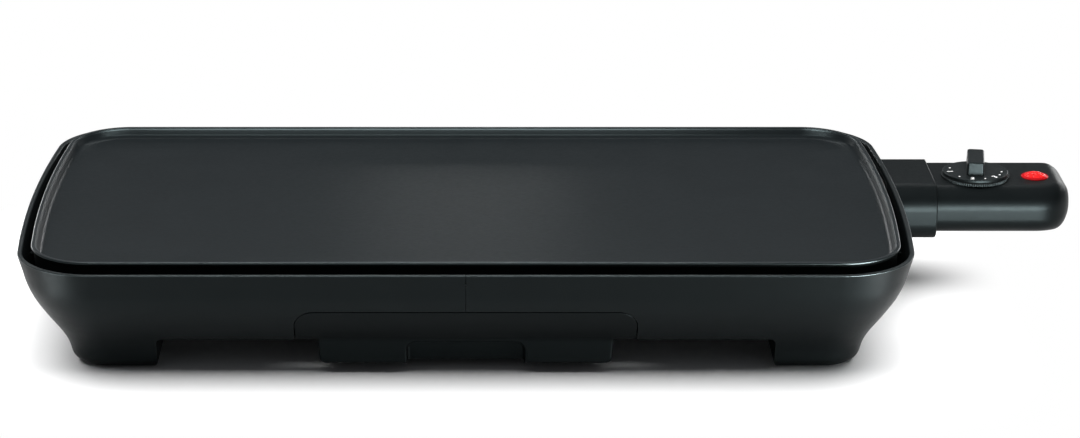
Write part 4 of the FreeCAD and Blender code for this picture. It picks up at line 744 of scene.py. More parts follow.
@dataclass
class BaseShell:
    """The two moulded base halves with their feet, floor, vents and openings."""

    outline: BowedOutline = BowedOutline(235.0, 129.7, 41.5)
    closing: float = 0.8
    top: float = 61.0
    wall: float = 2.6
    rim_edge: float = 0.55
    skirt: float = 19.4
    floor: float = 2.6
    sole: float = 0.8
    sole_fillet: float = 5.0
    foot_x: float = 159.5
    foot_y: float = 62.0
    foot_edge: float = 3.2
    foot_hollow_gap: float = 2.6
    foot_hollow_low: float = 3.4
    foot_hollow_corner: float = 3.0
    foot_hollow_edge: float = 1.0
    seam: float = 0.18
    past_x: float = 260.0
    past_y: float = 150.0
    rest_low: float = 37.8
    rest_top: float = 51.8
    rest_half: float = 1.5
    rest_corner: float = 0.5
    long_rests_x: tuple[float, ...] = (118.0, 29.5)
    long_rests_start: float = 109.3
    end_rests_y: tuple[float, ...] = (-66.0, 0.0)
    end_rests_start: float = 217.7
    boss_x: Span = (7.0, 17.0)
    boss_height: Span = (40.6, 50.2)
    boss_start: float = 116.7
    post_radius: float = 4.5
    posts_x: Span = (150.0, 104.0)
    posts_y: Span = (-82.0, 82.0)
    post_top: float = 40.0
    opening: Block = ((-88.1, -140.0, 11.4), (88.1, -100.0, 39.2))
    opening_corner: float = 10.5
    bay: Block = ((-80.0, -140.0, -1.0), (80.0, 42.9, 23.0))
    vent: Block = ((112.0, -48.0, 15.0), (116.0, 48.0, 25.0))
    vent_corner: float = 1.9
    vent_pitch: float = 16.0
    vent_count: int = 5
    pad_middle: Span = (181.0, 83.7)
    pad_half: float = 10.2
    pad_corner: float = 5.2
    pad_height: Span = (-1.0, 2.2)
    levels: tuple[Span, ...] = (
        (61.0, 0.0),
        (53.1, 2.2),
        (45.2, 4.4),
        (37.4, 7.9),
        (29.5, 12.9),
        (23.7, 17.0),
        (17.8, 21.2),
        (11.9, 24.4),
        (6.0, 26.2),
        (0.8, 27.4),
    )

    def inset(self, height: np.ndarray | float) -> np.ndarray:
        """How far the wall lies inside the rim at a height, read off a smooth line."""
        line = smooth_through(self.levels, 8)[::-1]
        return np.interp(height, line[:, 0], line[:, 1])

    def front(self, height: np.ndarray | float) -> np.ndarray:
        """The place along Y of the front wall's outer side at a height."""
        return self.inset(height) - self.outline.half_y

    def outer(self, name: str) -> bpy.types.Object:
        """The right half as a full solid.

        The wall's inset is the smooth line's, plus a quarter circle's where the sole and the
        rim's outer edge are rounded.

        Args:
            name: the solid's name.

        Returns:
            The solid.
        """
        fillet_top = self.sole + self.sole_fillet
        edge_low = self.top - self.rim_edge
        low = fillet_top - self.sole_fillet * np.sin(quarter(9))[::-1]
        middle = np.linspace(fillet_top, edge_low, 40)[1:]
        high = edge_low + self.rim_edge * np.sin(quarter(5))[1:]
        heights = np.concatenate([low, middle, high])
        sole_drop = np.clip(fillet_top - heights, 0.0, self.sole_fillet)
        rim_rise = np.clip(heights - edge_low, 0.0, self.rim_edge)
        inset = self.inset(heights)
        inset = inset + self.sole_fillet - np.sqrt(self.sole_fillet**2 - sole_drop**2)
        inset = inset + self.rim_edge - np.sqrt(np.maximum(self.rim_edge**2 - rim_rise**2, 0.0))
        half = self.outline.right_half
        rings = [lifted(half(d, self.closing, self.seam), z) for z, d in zip(heights, inset)]
        return skin(name, rings)

    def room(self, name: str, low: float) -> bpy.types.Object:
        """The space inside the wall from a height up, flared at the rim's inner edge.

        Args:
            name: the solid's name.
            low: its lowest height.

        Returns:
            The solid, as wide as both halves.
        """
        edge_low = self.top - self.rim_edge
        heights = np.linspace(low, edge_low, 30)
        stations = list(zip(heights, self.inset(heights) + self.wall))
        stations += [
            (edge_low + self.rim_edge * math.sin(a), self.wall - self.rim_edge * (1 - math.cos(a)))
            for a in quarter(5)[1:]
        ]
        stations.append((self.top + 2 * OVERLAP, self.wall - self.rim_edge))
        return skin(name, [lifted(self.outline.whole(d, self.closing), z) for z, d in stations])

    def under_cutter(self, name: str, half: float, reach: float, plane: Plane) -> bpy.types.Object:
        """What is cut away between two pairs of feet, with a flat roof and flared lower edges.

        The roof's edges and the flares are quarter circles.

        Args:
            name: the cutter's name.
            half: half its width at the roof.
            reach: half its length.
            plane: the plane of its section.

        Returns:
            The cutter.
        """
        angle, edge = quarter(6), self.foot_edge
        turn = edge * np.stack([np.cos(angle), np.sin(angle)])
        roof = np.array([[half - edge], [self.skirt - edge]]) + turn
        flare = np.array([[half + edge], [self.sole + edge]]) - turn
        below = [[half + edge], [-2 * OVERLAP]]
        right = np.concatenate([roof[:, ::-1], flare, below], axis=1).T
        section = np.vstack([right, right[::-1] * np.array([-1.0, 1.0])])
        return skin(name, [lifted(section, -reach, plane), lifted(section, reach, plane)])

    def half_solid(self, name: str) -> bpy.types.Object:
        """The right half with its walls, floor, hollow feet, opening, vents and pad recesses.

        Args:
            name: the piece's name.

        Returns:
            The solid.
        """
        half = self.outer(name)
        floor_top = self.skirt + self.floor
        mixed(half, self.room("room_above", floor_top), Mix.CUT)
        for side in (-1, 1):
            low_y, high_y = span(side, self.foot_y + self.foot_hollow_gap, self.past_y)
            low = (self.foot_x + self.foot_hollow_gap, low_y, self.foot_hollow_low)
            high = (self.past_x, high_y, floor_top + OVERLAP)
            edges = (self.foot_hollow_edge, 0.0)
            corner = self.foot_hollow_corner
            well = rounded_block("foot_well", (low, high), radii=corner, edges=edges)
            mixed(well, self.room("foot_room", self.sole + self.wall), Mix.KEEP)
            mixed(half, well, Mix.CUT)
        middle = self.under_cutter("under_middle", self.foot_x, self.past_y, Plane.FRONT)
        mixed(half, middle, Mix.CUT)
        ends = self.under_cutter("under_ends", self.foot_y, self.past_x, Plane.SIDE)
        mixed(half, ends, Mix.CUT)
        self.add_inner_forms(half)
        self.cut_openings(half)
        return half

    def add_inner_forms(self, half: bpy.types.Object) -> None:
        """Add the plate rests, the seam bosses and the reflector posts.

        Args:
            half: the right half.
        """
        ribs = []
        for side in (-1, 1):
            low_y, high_y = span(side, self.long_rests_start, self.past_y)
            for x in self.long_rests_x:
                low = (x - self.rest_half, low_y, self.rest_low)
                ribs.append((low, (x + self.rest_half, high_y, self.rest_top)))
            low_y, high_y = span(side, self.boss_start, self.past_y)
            low = (self.boss_x[0], low_y, self.boss_height[0])
            ribs.append((low, (self.boss_x[1], high_y, self.boss_height[1])))
        for y in self.end_rests_y:
            low = (self.end_rests_start, y - self.rest_half, self.rest_low)
            ribs.append((low, (self.past_x, y + self.rest_half, self.rest_top)))
        for block in ribs:
            rib = rounded_block("rest", block, radii=self.rest_corner, steps=3)
            mixed(rib, self.outer("outer_copy"), Mix.KEEP)
            mixed(half, rib, Mix.ADD)
        foot = self.skirt + OVERLAP
        for y in self.posts_y:
            for x in self.posts_x:
                post = rod("post", self.post_radius, (x, y, foot), self.post_top - foot, around=32)
                mixed(half, post, Mix.ADD)

    def cut_openings(self, half: bpy.types.Object) -> None:
        """Cut the drawer opening and bay, the vents and the pad recesses.

        Args:
            half: the right half.
        """
        sharp = (0.0, 0.0)
        radii = (0.0, 0.0, self.opening_corner, self.opening_corner)
        cutters = [
            rounded_block("drawer_opening", self.opening, Plane.FRONT, radii, sharp, steps=12),
            rounded_block("bay", self.bay, radii=0.0, edges=sharp),
        ]
        for k in range(self.vent_count):
            step = np.array([self.vent_pitch * k, 0.0, 0.0])
            block = (self.vent[0] + step, self.vent[1] + step)
            cutters.append(rounded_block("vent", block, radii=self.vent_corner, edges=sharp))
        (x, away), half_pad = self.pad_middle, self.pad_half
        for y in (-away, away):
            low = (x - half_pad, y - half_pad, self.pad_height[0])
            high = (x + half_pad, y + half_pad, self.pad_height[1])
            pad = rounded_block("pad_recess", (low, high), Plane.TOP, self.pad_corner, (0.0, 0.3))
            cutters.append(pad)
        for cutter in cutters:
            mixed(half, cutter, Mix.CUT)

    def build(self, collar: "Collar") -> None:
        """Make both halves: the left one is the right one mirrored, without the collar's hole.

        Args:
            collar: the collar, which knows the hole that it passes through.
        """
        right = self.half_solid("base_right_shell")
        left = linked("base_left_shell", right.data.copy())
        places = rows(left.data.vertices, "co")
        places[:, 0] = 2 * BASE_MIDDLE[0] * MM - places[:, 0]
        left.data.vertices.foreach_set("co", places.ravel())
        left.data.flip_normals()
        mixed(right, collar.hole(), Mix.CUT)
        for half, node in ((left, "base_left"), (right, "base_right")):
            finished(half, "base", BASE_PLASTIC, [node])
            painted(half, BASE_INSIDE, self.inside)
            painted(half, BASE_RIM, lambda _, middles: middles[:, 2] > self.top - self.rim_edge)

    def inside(self, normals: np.ndarray, middles: np.ndarray) -> np.ndarray:
        """Faces inside the wall: those that face the middle, and the floor's upper side.

        Args:
            normals: the faces' normals.
            middles: the faces' middles.

        Returns:
            Whether each face is one of them.
        """
        inward = ((middles[:, :2] - BASE_MIDDLE) * normals[:, :2]).sum(axis=1) < -1.0
        return (inward | (normals[:, 2] > 0.9)) & (middles[:, 2] > self.skirt - 1.0)


@dataclass
class Collar:
    """The moulded socket that guides the control into the base's right-hand end."""

    shell: BaseShell
    start: float = 214.0
    end: float = 258.7
    hole_end: float = 250.0
    room_low: float = 20.0
    low: Span = (18.1, 28.4)
    high: Span = (77.4, 58.9)
    radii: tuple[float, ...] = (10.35, 10.35, 3.95, 13.35)
    inner_low: Span = (20.8, 31.4)
    inner_high: Span = (74.7, 57.6)
    inner_radii: tuple[float, ...] = (9.2, 9.2, 2.8, 12.2)
    end_edge: float = 0.9
    inner_edge: float = 0.4
    clearance: float = 0.2
    tongue: Block = ((204.5, 29.5, 28.4), (224.5, 63.5, 31.4))
    tongue_holes: tuple[Point, ...] = ((209.0, 33.5, 27.0), (209.0, 59.5, 27.0))
    tongue_hole_radius: float = 1.25
    tongue_hole_length: float = 6.0
    tongue_edge: float = 0.2

    def section(self, grow: float, place: float, inner: bool = False) -> np.ndarray:
        """A section at a place along X.

        Args:
            grow: how far it is grown.
            place: the place.
            inner: whether it is the inside's and not the outside's.

        Returns:
            The section's points.
        """
        low, high, radii = self.low, self.high, self.radii
        if inner:
            low, high, radii = self.inner_low, self.inner_high, self.inner_radii
        return lifted(rounded_outline(low, high, radii, 14, -grow), place, Plane.SIDE)

    def hole(self) -> bpy.types.Object:
        """The hole in the base's wall, wider than the collar by its clearance."""
        ends = (self.start - OVERLAP, self.hole_end)
        return skin("collar_hole", [self.section(self.clearance, x) for x in ends])

    def build(self) -> None:
        """Make the tube with rounded ends, cut it to the inside of the base and add its tongue."""
        stations = [(0.0, self.start)]
        stations += [(-inset, self.end - depth) for inset, depth in side_to_face(self.end_edge)]
        tube = skin("connector_collar_tube", [self.section(*station) for station in stations])
        edge, end = self.inner_edge, self.end
        stations = [(0.0, self.start - OVERLAP), (0.0, end - edge)]
        stations += [(edge, end), (edge, end + OVERLAP)]
        inside = skin("collar_inside", [self.section(*station, inner=True) for station in stations])
        mixed(tube, inside, Mix.CUT)
        mixed(tube, self.shell.room("collar_room", self.room_low), Mix.CUT)
        edges = (self.tongue_edge, self.tongue_edge)
        tongue = rounded_block("tongue", self.tongue, edges=edges, steps=4)
        for foot in self.tongue_holes:
            length = self.tongue_hole_length
            hole = rod("tongue_hole", self.tongue_hole_radius, foot, length, around=24)
            mixed(tongue, hole, Mix.CUT)
        mixed(tube, tongue, Mix.ADD)
        finished(tube, "base", CONTROL_PLASTIC, ["connector_collar"])


# Cooking plate


@dataclass
class CookingPlate:
    """The non-stick plate with its raised rim, dished well and drain slot."""

    outline: BowedOutline = BowedOutline(227.7, 119.3, 32.65)
    top: float = 64.4
    bottom: float = 52.0
    underside: float = 55.2
    well: float = 59.2
    rim_width: float = 2.4
    rim_edge: float = 0.7
    skirt_inner: float = 3.9
    skirt_outer: float = 1.2
    skirt_narrow: float = 1.8
    small_edge: float = 0.3
    flange_low: float = 63.1
    slope_top: float = 63.2
    slope_start: float = 2.9
    slope_tilt: float = math.radians(58.0)
    fillet: float = 4.2
    slot_low: Span = (-11.0, -109.8)
    slot_high: Span = (11.0, -103.8)
    slot_corner: float = 2.9
    slot_flare: tuple[Span, ...] = (
        (0.9, 1.0),
        (0.9, 0.0),
        (0.45, -0.25),
        (0.12, -0.6),
        (0.0, -1.2),
        (0.0, -5.2),
    )
    saddle: Block = ((148.0, 39.5, 46.0), (180.0, 53.5, 56.0))
    groove_start: Point = (140.0, 46.5, 46.0)
    groove_radius: float = 3.2
    groove_length: float = 50.0
    saddle_corner: float = 1.5
    saddle_edge: float = 0.4

    def profile(self) -> list[Span]:
        """Pairs of inset and height, from the underside round the rim into the well.

        The rim's edges are quarter circles. The well's side is a straight slope that a circle
        joins to the well's floor.

        Returns:
            The pairs.
        """
        inner, outer, low, small = self.skirt_inner, self.skirt_outer, self.bottom, self.small_edge
        steps = [(inner, self.underside), (inner, low + small), (inner - small, low)]
        narrow = self.skirt_narrow
        steps += [(narrow + small, low), (narrow, low + small), (outer, self.flange_low - small)]
        steps += [(outer - small, self.flange_low), (small, self.flange_low)]
        steps.append((0.0, self.flange_low + small))
        steps += [(inset, self.top - depth) for inset, depth in side_to_face(self.rim_edge, 6)]
        edge = edge_profile(self.rim_edge, 6)
        steps += [(self.rim_width - inset, self.top - depth) for inset, depth in edge]
        tilt, turn = self.slope_tilt, self.fillet
        drop = self.slope_top - self.well - turn * (1 - math.cos(tilt))
        centre = self.slope_start + drop / math.tan(tilt) + turn * math.sin(tilt)
        steps.append((self.slope_start, self.slope_top))
        for a in np.linspace(tilt, 0.0, 14):
            steps.append((centre - turn * math.sin(a), self.well + turn * (1 - math.cos(a))))
        return steps

    def drain_slot(self) -> bpy.types.Object:
        """The slot's cutter: its outline grows towards the top, so that the edge is dished.

        Returns:
            The cutter.
        """
        corners, radii = (self.slot_low, self.slot_high), [self.slot_corner] * 4
        rings = [
            lifted(rounded_outline(*corners, radii, inset=-grow), self.well + above)
            for grow, above in self.slot_flare
        ]
        return skin("drain_slot", rings)

    def build(self) -> None:
        """Make the plate, cut the drain slot and add the probe's saddle."""
        rings = [lifted(self.outline.whole(inset), height) for inset, height in self.profile()]
        plate = skin("cooking_plate_cast", rings)
        mixed(plate, self.drain_slot(), Mix.CUT)
        edges = (self.saddle_edge, 0.0)
        saddle = rounded_block("saddle", self.saddle, radii=self.saddle_corner, edges=edges)
        length = self.groove_length
        groove = rod("probe_groove", self.groove_radius, self.groove_start, length, axis=0)
        mixed(saddle, groove, Mix.CUT)
        mixed(plate, saddle, Mix.ADD)
        finished(plate, "plate", NONSTICK, ["cooking_plate"], crease=40.0)
        painted(plate, PLATE_RIM, lambda _, middles: middles[:, 2] > self.slope_top)
        # Painted shade: the skirt and the underside wear a darker finish, partly for the bare metal
        # and partly for the shade below the rim.
        painted(plate, BARE_SHADED_UNDERSIDE, self.shaded_under_faces)

    def shaded_under_faces(self, normals: np.ndarray, middles: np.ndarray) -> np.ndarray:
        """Faces of the skirt's outer side and the underside, which have no non-stick coat. Their
        darker, duller finish is also painted shade, for the shade that falls on the skirt below the
        rim.

        Args:
            normals: the faces' normals.
            middles: the faces' middles.

        Returns:
            Whether each face is one of them.
        """
        outward = ((middles[:, :2] - BASE_MIDDLE) * normals[:, :2]).sum(axis=1) > 0
        below = middles[:, 2] < self.flange_low + 0.2
        return below & ((outward & (normals[:, 2] < 0.5)) | (normals[:, 2] < -0.5))


# Drip drawer


@dataclass
class DripDrawer:
    """The drawer's front, which follows the base's side."""

    shell: BaseShell
    half: float = 87.65
    low: float = 19.4
    high: float = 38.75
    corner: float = 10.05
    low_corner: float = 0.8
    wall: float = 2.6
    edge: float = 0.6
    back_edge: float = 0.3
    deep_half: float = 76.4
    deep_front: float = -109.3
    deep_back: float = -99.0
    deep_low: float = 6.0
    deep_high: float = 22.4
    deep_edge: float = 1.5
    deep_corner: float = 3.0
    deep_behind: float = 0.15
    blend: float = 0.8
    taper: float = 1.3
    recess_half: float = 30.2
    recess_high: float = 17.4
    recess_corner: float = 5.0
    recess_depth: float = 7.2
    recess_lip: float = 1.7
    recess_back: float = 1.8
    hollow_x: Span = (32.8, 73.8)
    hollow_y: Span = (-106.7, -98.0)
    hollow_z: Span = (8.6, 16.8)
    hollow_corner: float = 1.5

    def fascia_ring(self, inset: float, depth: float) -> np.ndarray:
        """One ring of the fascia: a rounded outline in front view, laid on the base's side.

        A point's Y is the wall's at its height, plus the depth.

        Args:
            inset: how far the ring lies inside the fascia's outline.
            depth: how far it lies behind the wall's outer side.

        Returns:
            The ring's points.
        """
        radii = (self.low_corner, self.low_corner, self.corner, self.corner)
        corners = (-self.half, self.low), (self.half, self.high)
        outline = rounded_outline(*corners, radii, 12, inset)
        y = self.shell.front(outline[:, 1]) + depth
        return np.stack([outline[:, 0], y, outline[:, 1]], axis=-1)

    def fascia(self) -> bpy.types.Object:
        """The wide front as rings from its middle line over the rounded edge to the back.

        Returns:
            The solid.
        """
        middle = (self.high - self.low) / 2
        inner = np.concatenate([np.linspace(middle, 2.0, 12), [2 * self.edge]])
        stations = [(inset, 0.0) for inset in inner]
        stations += edge_profile(self.edge, 6)
        stations += [(inset, self.wall - depth) for inset, depth in side_to_face(self.back_edge, 3)]
        stations += [(inset, self.wall) for inset in inner[::-1]]
        rings = [self.fascia_ring(inset, depth) for inset, depth in stations]
        return skin("drawer_front_panel", rings, BOTH_MEETING)

    def recess(self) -> bpy.types.Object:
        """The finger recess's cutter, with a quarter circle at its lip and at its back.

        Returns:
            The cutter.
        """
        lip, back = self.recess_lip, self.recess_back
        deep = self.recess_depth - back
        stations = [(lip, -2 * OVERLAP)]
        stations += [(lip * (1 - math.sin(a)), lip * (1 - math.cos(a))) for a in quarter(6)]
        stations += [(-back * (1 - math.cos(a)), deep + back * math.sin(a)) for a in quarter(6)]
        rings = []
        for grow, inward in stations:
            half, corner = self.recess_half + grow, self.recess_corner + grow
            corners = (-half, 0.0), (half, self.recess_high + grow)
            outline = rounded_outline(*corners, [0.0, 0.0, corner, corner], 10)
            rings.append(lifted(outline, self.deep_front + inward, Plane.FRONT))
        return skin("finger_recess", rings)

    def face(self, height: np.ndarray) -> np.ndarray:
        """The deep part's front: the blend of the wide front's curve and an upright face.

        It is half the sum of both places less half the root of their squared distance and a
        squared blend length.

        Args:
            height: the points' heights.

        Returns:
            Their places along Y.
        """
        curve = self.shell.front(height) + self.deep_behind
        apart = np.sqrt((curve - self.deep_front) ** 2 + self.blend**2)
        return (curve + self.deep_front) / 2 - apart / 2

    def deep_part(self) -> bpy.types.Object:
        """The deep part below the wide front.

        Its width falls evenly with the height, and its front goes over from the blended face
        to a flat back by the share of the way.

        Returns:
            The solid.
        """
        depth = self.deep_back - self.deep_front
        stations = edge_profile(self.deep_edge, 7)
        stations += [(inset, depth - place) for inset, place in side_to_face(self.back_edge, 3)]
        radii = (self.deep_corner, self.deep_corner, self.back_edge, self.back_edge)
        rings = []
        for inset, place in stations:
            corners = (-self.deep_half, self.deep_low), (self.deep_half, self.deep_high + inset)
            outline = self.refined(rounded_outline(*corners, radii, 9, inset))
            height = outline[:, 1]
            share = 1.0 - place / depth
            fall = np.clip((self.deep_high - height) / (self.deep_high - self.deep_low), 0.0, 1.0)
            x = outline[:, 0] * (1.0 - self.taper * fall / self.deep_half)
            y = self.deep_front + place + (self.face(height) - self.deep_front) * share
            rings.append(np.stack([x, y, height], axis=-1))
        return skin("deep_part", self.filled(rings[0]) + rings, (End.MEETING, End.FLAT))

    @staticmethod
    def refined(outline: np.ndarray) -> np.ndarray:
        """The outline with its sides divided evenly, so that they can follow a curve.

        Args:
            outline: points of the closed outline.

        Returns:
            The old points with new ones between them.
        """
        following = np.roll(outline, -1, axis=0)
        share = np.linspace(0.0, 1.0, 12, endpoint=False)[None, :, None]
        return (outline[:, None] * (1 - share) + following[:, None] * share).reshape(-1, 2)

    def filled(self, ring: np.ndarray) -> list[np.ndarray]:
        """Rings inside the deep part's front, drawn in from its edge towards its middle line.

        Args:
            ring: the edge of the front.

        Returns:
            Rings from the middle line out to the edge.
        """
        middle = (self.deep_high + self.deep_low) / 2
        reach = self.deep_half - (self.deep_high - self.deep_low) / 2
        centre_x = np.clip(ring[:, 0], -reach, reach)
        rings = []
        for share in np.linspace(0.0, 1.0, 10, endpoint=False):
            x = centre_x + (ring[:, 0] - centre_x) * share
            height = middle + (ring[:, 2] - middle) * share
            rings.append(np.stack([x, self.face(height), height], axis=-1))
        return rings

    def build(self) -> None:
        """Join the fascia and the deep part, with the finger recess and two hollows behind."""
        deep = self.deep_part()
        mixed(deep, self.recess(), Mix.CUT)
        for side in (-1, 1):
            block = tuple(zip(span(side, *self.hollow_x), self.hollow_y, self.hollow_z))
            hollow = rounded_block("rear_hollow", block, Plane.FRONT, self.hollow_corner)
            mixed(deep, hollow, Mix.CUT)
        panel = self.fascia()
        mixed(panel, deep, Mix.ADD)
        finished(panel, "drawer", DRAWER_PLASTIC, ["drawer_front"])


# Thermostat control


@dataclass
class ControlCase:
    """The control's moulded case: soft front edge, crisp rear edge and a rounded far end."""

    start: float = 238.0
    end: float = 334.0
    front: float = 21.0
    rear: float = 74.5
    low: float = 31.6
    high: float = 57.4
    wall: float = 2.2
    front_turn: float = 20.0
    rear_turn: float = 12.0
    end_turn: float = 9.0
    run_in: float = 20.0
    radii: tuple[float, ...] = (9.0, 9.0, 2.6, 12.0)
    least_radius: float = 0.5
    least_flat: float = 0.01
    hole_length: float = 10.0
    spindle_hole: float = 4.5
    spindle_place: Point = (282.6, 46.5, 50.0)
    lens_hole: float = 5.8
    lens_place: Point = (315.7, 46.5, 50.0)
    gland_hole: float = 6.2
    gland_place: Point = (300.0, 70.0, 46.0)
    cover: Block = ((241.2, 30.0, 30.0), (314.0, 65.5, 33.9))
    nose: Block = ((236.0, 28.0, 37.8), (242.0, 65.0, 51.2))

    def form(self, name: str, inset: float) -> bpy.types.Object:
        """The case's outside, or with an inset its inside.

        Along X the section is drawn in at each side by a quarter circle: the front's and the
        rear's in plan, and one each above and below.

        Args:
            name: the solid's name.
            inset: how far the form lies inside the case's outside.

        Returns:
            The solid.
        """
        end = self.end - inset
        reach = self.front_turn - inset
        straight = np.array([self.start + inset, end - reach - self.run_in])
        curved = end - reach + reach * np.sin(quarter(30))
        turns = (self.front_turn, self.rear_turn, self.end_turn, self.end_turn)
        rings = []
        for x in np.concatenate([straight, curved]):
            front, rear, low, high = (self.drawn_in(x, end, turn - inset) for turn in turns)
            low = (self.front + inset + front, self.low + inset + low)
            high = (self.rear - inset - rear, self.high - inset - high)
            limit = min(high[0] - low[0], high[1] - low[1]) / 2 - self.least_flat
            radii = [min(max(r - inset, self.least_radius), limit) for r in self.radii]
            rings.append(lifted(rounded_outline(low, high, radii, 14), x, Plane.SIDE))
        return skin(name, rings)

    @staticmethod
    def drawn_in(place: float, end: float, turn: float) -> float:
        """How far a quarter circle of a radius that ends at the far end draws a side in."""
        into = min(max(place - (end - turn), 0.0), turn)
        return turn - math.sqrt(max(turn**2 - into**2, 0.0))

    def build(self) -> None:
        """Hollow the case out and cut the openings for cover, nose, spindle, lens and gland."""
        case = self.form("control_case", 0.0)
        mixed(case, self.form("case_room", self.wall), Mix.CUT)
        cuts = [
            rod("spindle_hole", self.spindle_hole, self.spindle_place, self.hole_length),
            rod("lens_hole", self.lens_hole, self.lens_place, self.hole_length),
            rod("gland_hole", self.gland_hole, self.gland_place, self.hole_length, axis=1),
            rounded_block("cover_opening", self.cover, edges=(0.0, 0.0)),
            rounded_block("nose_opening", self.nose, Plane.SIDE, self.least_radius),
        ]
        for cutter in cuts:
            mixed(case, cutter, Mix.CUT)
        finished(case, "control", CONTROL_PLASTIC, ["control_housing"])


@dataclass
class Dial:
    """The numbered dial with its grip bar, and the ribbed ring below it."""

    centre: Span = (282.6, 46.5)
    bottom: float = 59.2
    radius: float = 18.0
    thickness: float = 1.7
    edge: float = 0.45
    low_edge: float = 0.2
    border: float = 1.6
    border_fall: float = 0.4
    sunk: float = 0.12
    hub_radius: float = 5.5
    hub_drop: float = 1.5
    grip_half: float = 5.0
    grip_front: float = 9.2
    grip_back: float = 17.9
    grip_height: float = 7.3
    grip_edge: float = 0.9
    grip_corner: float = 1.3
    grip_narrow: float = 0.35
    grip_foot: float = 0.1
    turn: float = -8.0
    bezel_radius: float = 18.8
    bezel_width: float = 2.4
    bezel_low: float = 57.4
    bezel_height: float = 1.6
    rib_count: int = 90
    rib_depth: float = 0.42
    rib_power: float = 0.6
    bezel_edge: tuple[Span, ...] = ((0.0, 0.3), (0.1, 0.1), (0.35, 0.0))
    mark_reach: float = 14.4
    dot_size: float = 1.0
    numeral_size: float = 4.8
    mark_thickness: float = 0.05
    marks_at: tuple[tuple[str, float], ...] = (
        ("dot", -112.0),
        ("1", -86.0),
        ("dot", -45.0),
        ("2", -14.0),
        ("dot", 14.0),
        ("3", 40.0),
        ("dot", 60.0),
        ("dot", 83.0),
    )

    @staticmethod
    def spun(places: np.ndarray, radians: float, middle: np.ndarray) -> np.ndarray:
        """Places in the X-Y plane turned about a middle by an angle in radians."""
        cosine, sine = math.cos(radians), math.sin(radians)
        return (places - middle) @ np.array([[cosine, sine], [-sine, cosine]]) + middle

    def knob(self) -> None:
        """The disc with rounded edges and a slightly tapered grip bar across it."""
        low, top, radius = self.bottom, self.bottom + self.thickness, self.radius
        profile = [(0.0, low - self.hub_drop), (self.hub_radius, low - self.hub_drop)]
        profile += [(self.hub_radius, low), (radius - self.low_edge, low)]
        profile.append((radius, low + self.low_edge))
        profile += [(radius - inset, top - depth) for inset, depth in side_to_face(self.edge)]
        field = radius - self.border
        profile += [(field, top), (field - self.border_fall, top - self.sunk)]
        profile.append((0.0, top - self.sunk))
        disc = turned("dial_knob_disc", profile, self.centre, 96)
        mixed(disc, self.grip_bar(top), Mix.ADD)
        places = rows(disc.data.vertices, "co")
        middle = (BASE_MIDDLE + self.centre) * MM
        places[:, :2] = self.spun(places[:, :2], math.radians(self.turn), middle)
        disc.data.vertices.foreach_set("co", places.ravel())
        finished(disc, "dial", DIAL_PLASTIC, ["dial_knob"], crease=38.0)

    def grip_bar(self, top: float) -> bpy.types.Object:
        """The grip: an outline with wide corner roundings, narrowing a little to its top.

        Args:
            top: height of the disc's top.

        Returns:
            The solid.
        """
        x, y = self.centre
        stations = [(0.0, top - OVERLAP), (self.grip_foot, top)]
        peak = top + self.grip_height
        edge = side_to_face(self.grip_edge, 6)
        stations += [(self.grip_narrow + inset, peak - depth) for inset, depth in edge]
        rings = []
        for inset, height in stations:
            low = (x - self.grip_half + inset, y - self.grip_front + inset)
            high = (x + self.grip_half - inset, y + self.grip_back - inset)
            rings.append(lifted(rounded_outline(low, high, [self.grip_corner] * 4, 7), height))
        return skin("grip", rings)

    def bezel(self) -> None:
        """The ring below the dial: its radius swings with a rounded wave, one for each rib.

        The wave is the sine's size to a power.
        """
        angle = full_turn(self.rib_count * 8)
        wave = np.abs(np.sin(angle * self.rib_count / 2)) ** self.rib_power
        outer = self.bezel_radius - self.rib_depth + self.rib_depth * wave
        inner = np.full(len(angle), self.bezel_radius - self.bezel_width)
        low, high = self.bezel_low, self.bezel_low + self.bezel_height
        stations = [(inner, low), (outer, low)]
        stations += [(outer - inset, high - depth) for inset, depth in self.bezel_edge]
        stations += [(inner, high), (inner, low)]
        rings = [circle(self.centre, radius, height, angle) for radius, height in stations]
        ring = skin("dial_bezel_ribs", rings, BOTH_MEETING)
        finished(ring, "control", DIAL_PLASTIC, ["dial_bezel"])

    def mark(self, name: str, text: str, degrees: float) -> bpy.types.Object:
        """A printed numeral or dot on the dial's top.

        Args:
            name: the piece's name.
            text: the numeral, or the word dot.
            degrees: its angle from the dial's front, towards +X.

        Returns:
            The mark.
        """
        top = self.bottom + self.thickness - self.sunk
        turn = math.radians(degrees)
        x = self.centre[0] + self.mark_reach * math.sin(turn)
        y = self.centre[1] - self.mark_reach * math.cos(turn)
        thick = self.mark_thickness
        if text == "dot":
            half, low, high = self.dot_size / 2, top - 2 * thick, top + thick
            return turned(name, [(0.0, low), (half, low), (half, high), (0.0, high)], (x, y), 20)
        curve = bpy.data.curves.new(name, "FONT")
        curve.body = text
        curve.size = self.numeral_size * MM
        curve.extrude = curve.offset = thick * MM
        curve.align_x = curve.align_y = "CENTER"
        writer = linked(name + "_text", curve)
        graph = bpy.context.evaluated_depsgraph_get()
        mesh = bpy.data.meshes.new_from_object(writer.evaluated_get(graph))
        bpy.data.objects.remove(writer)
        places = rows(mesh.vertices, "co").astype(float)
        middle = (BASE_MIDDLE + (x, y)) * MM
        places[:, :2] = self.spun(places[:, :2], turn, np.zeros(2)) + middle
        places[:, 2] += top * MM
        mesh.vertices.foreach_set("co", places.ravel())
        return linked(name, mesh)

    def build(self) -> None:
        """Make the knob, the bezel, and the numerals 1 to 3 with dots between and beyond them."""
        self.knob()
        self.bezel()
        for number, (text, degrees) in enumerate(self.marks_at, start=1):
            mark = self.mark("dial_mark_{}_{}".format(number, text), text, degrees)
            finished(mark, "dial", MARKING_WHITE)


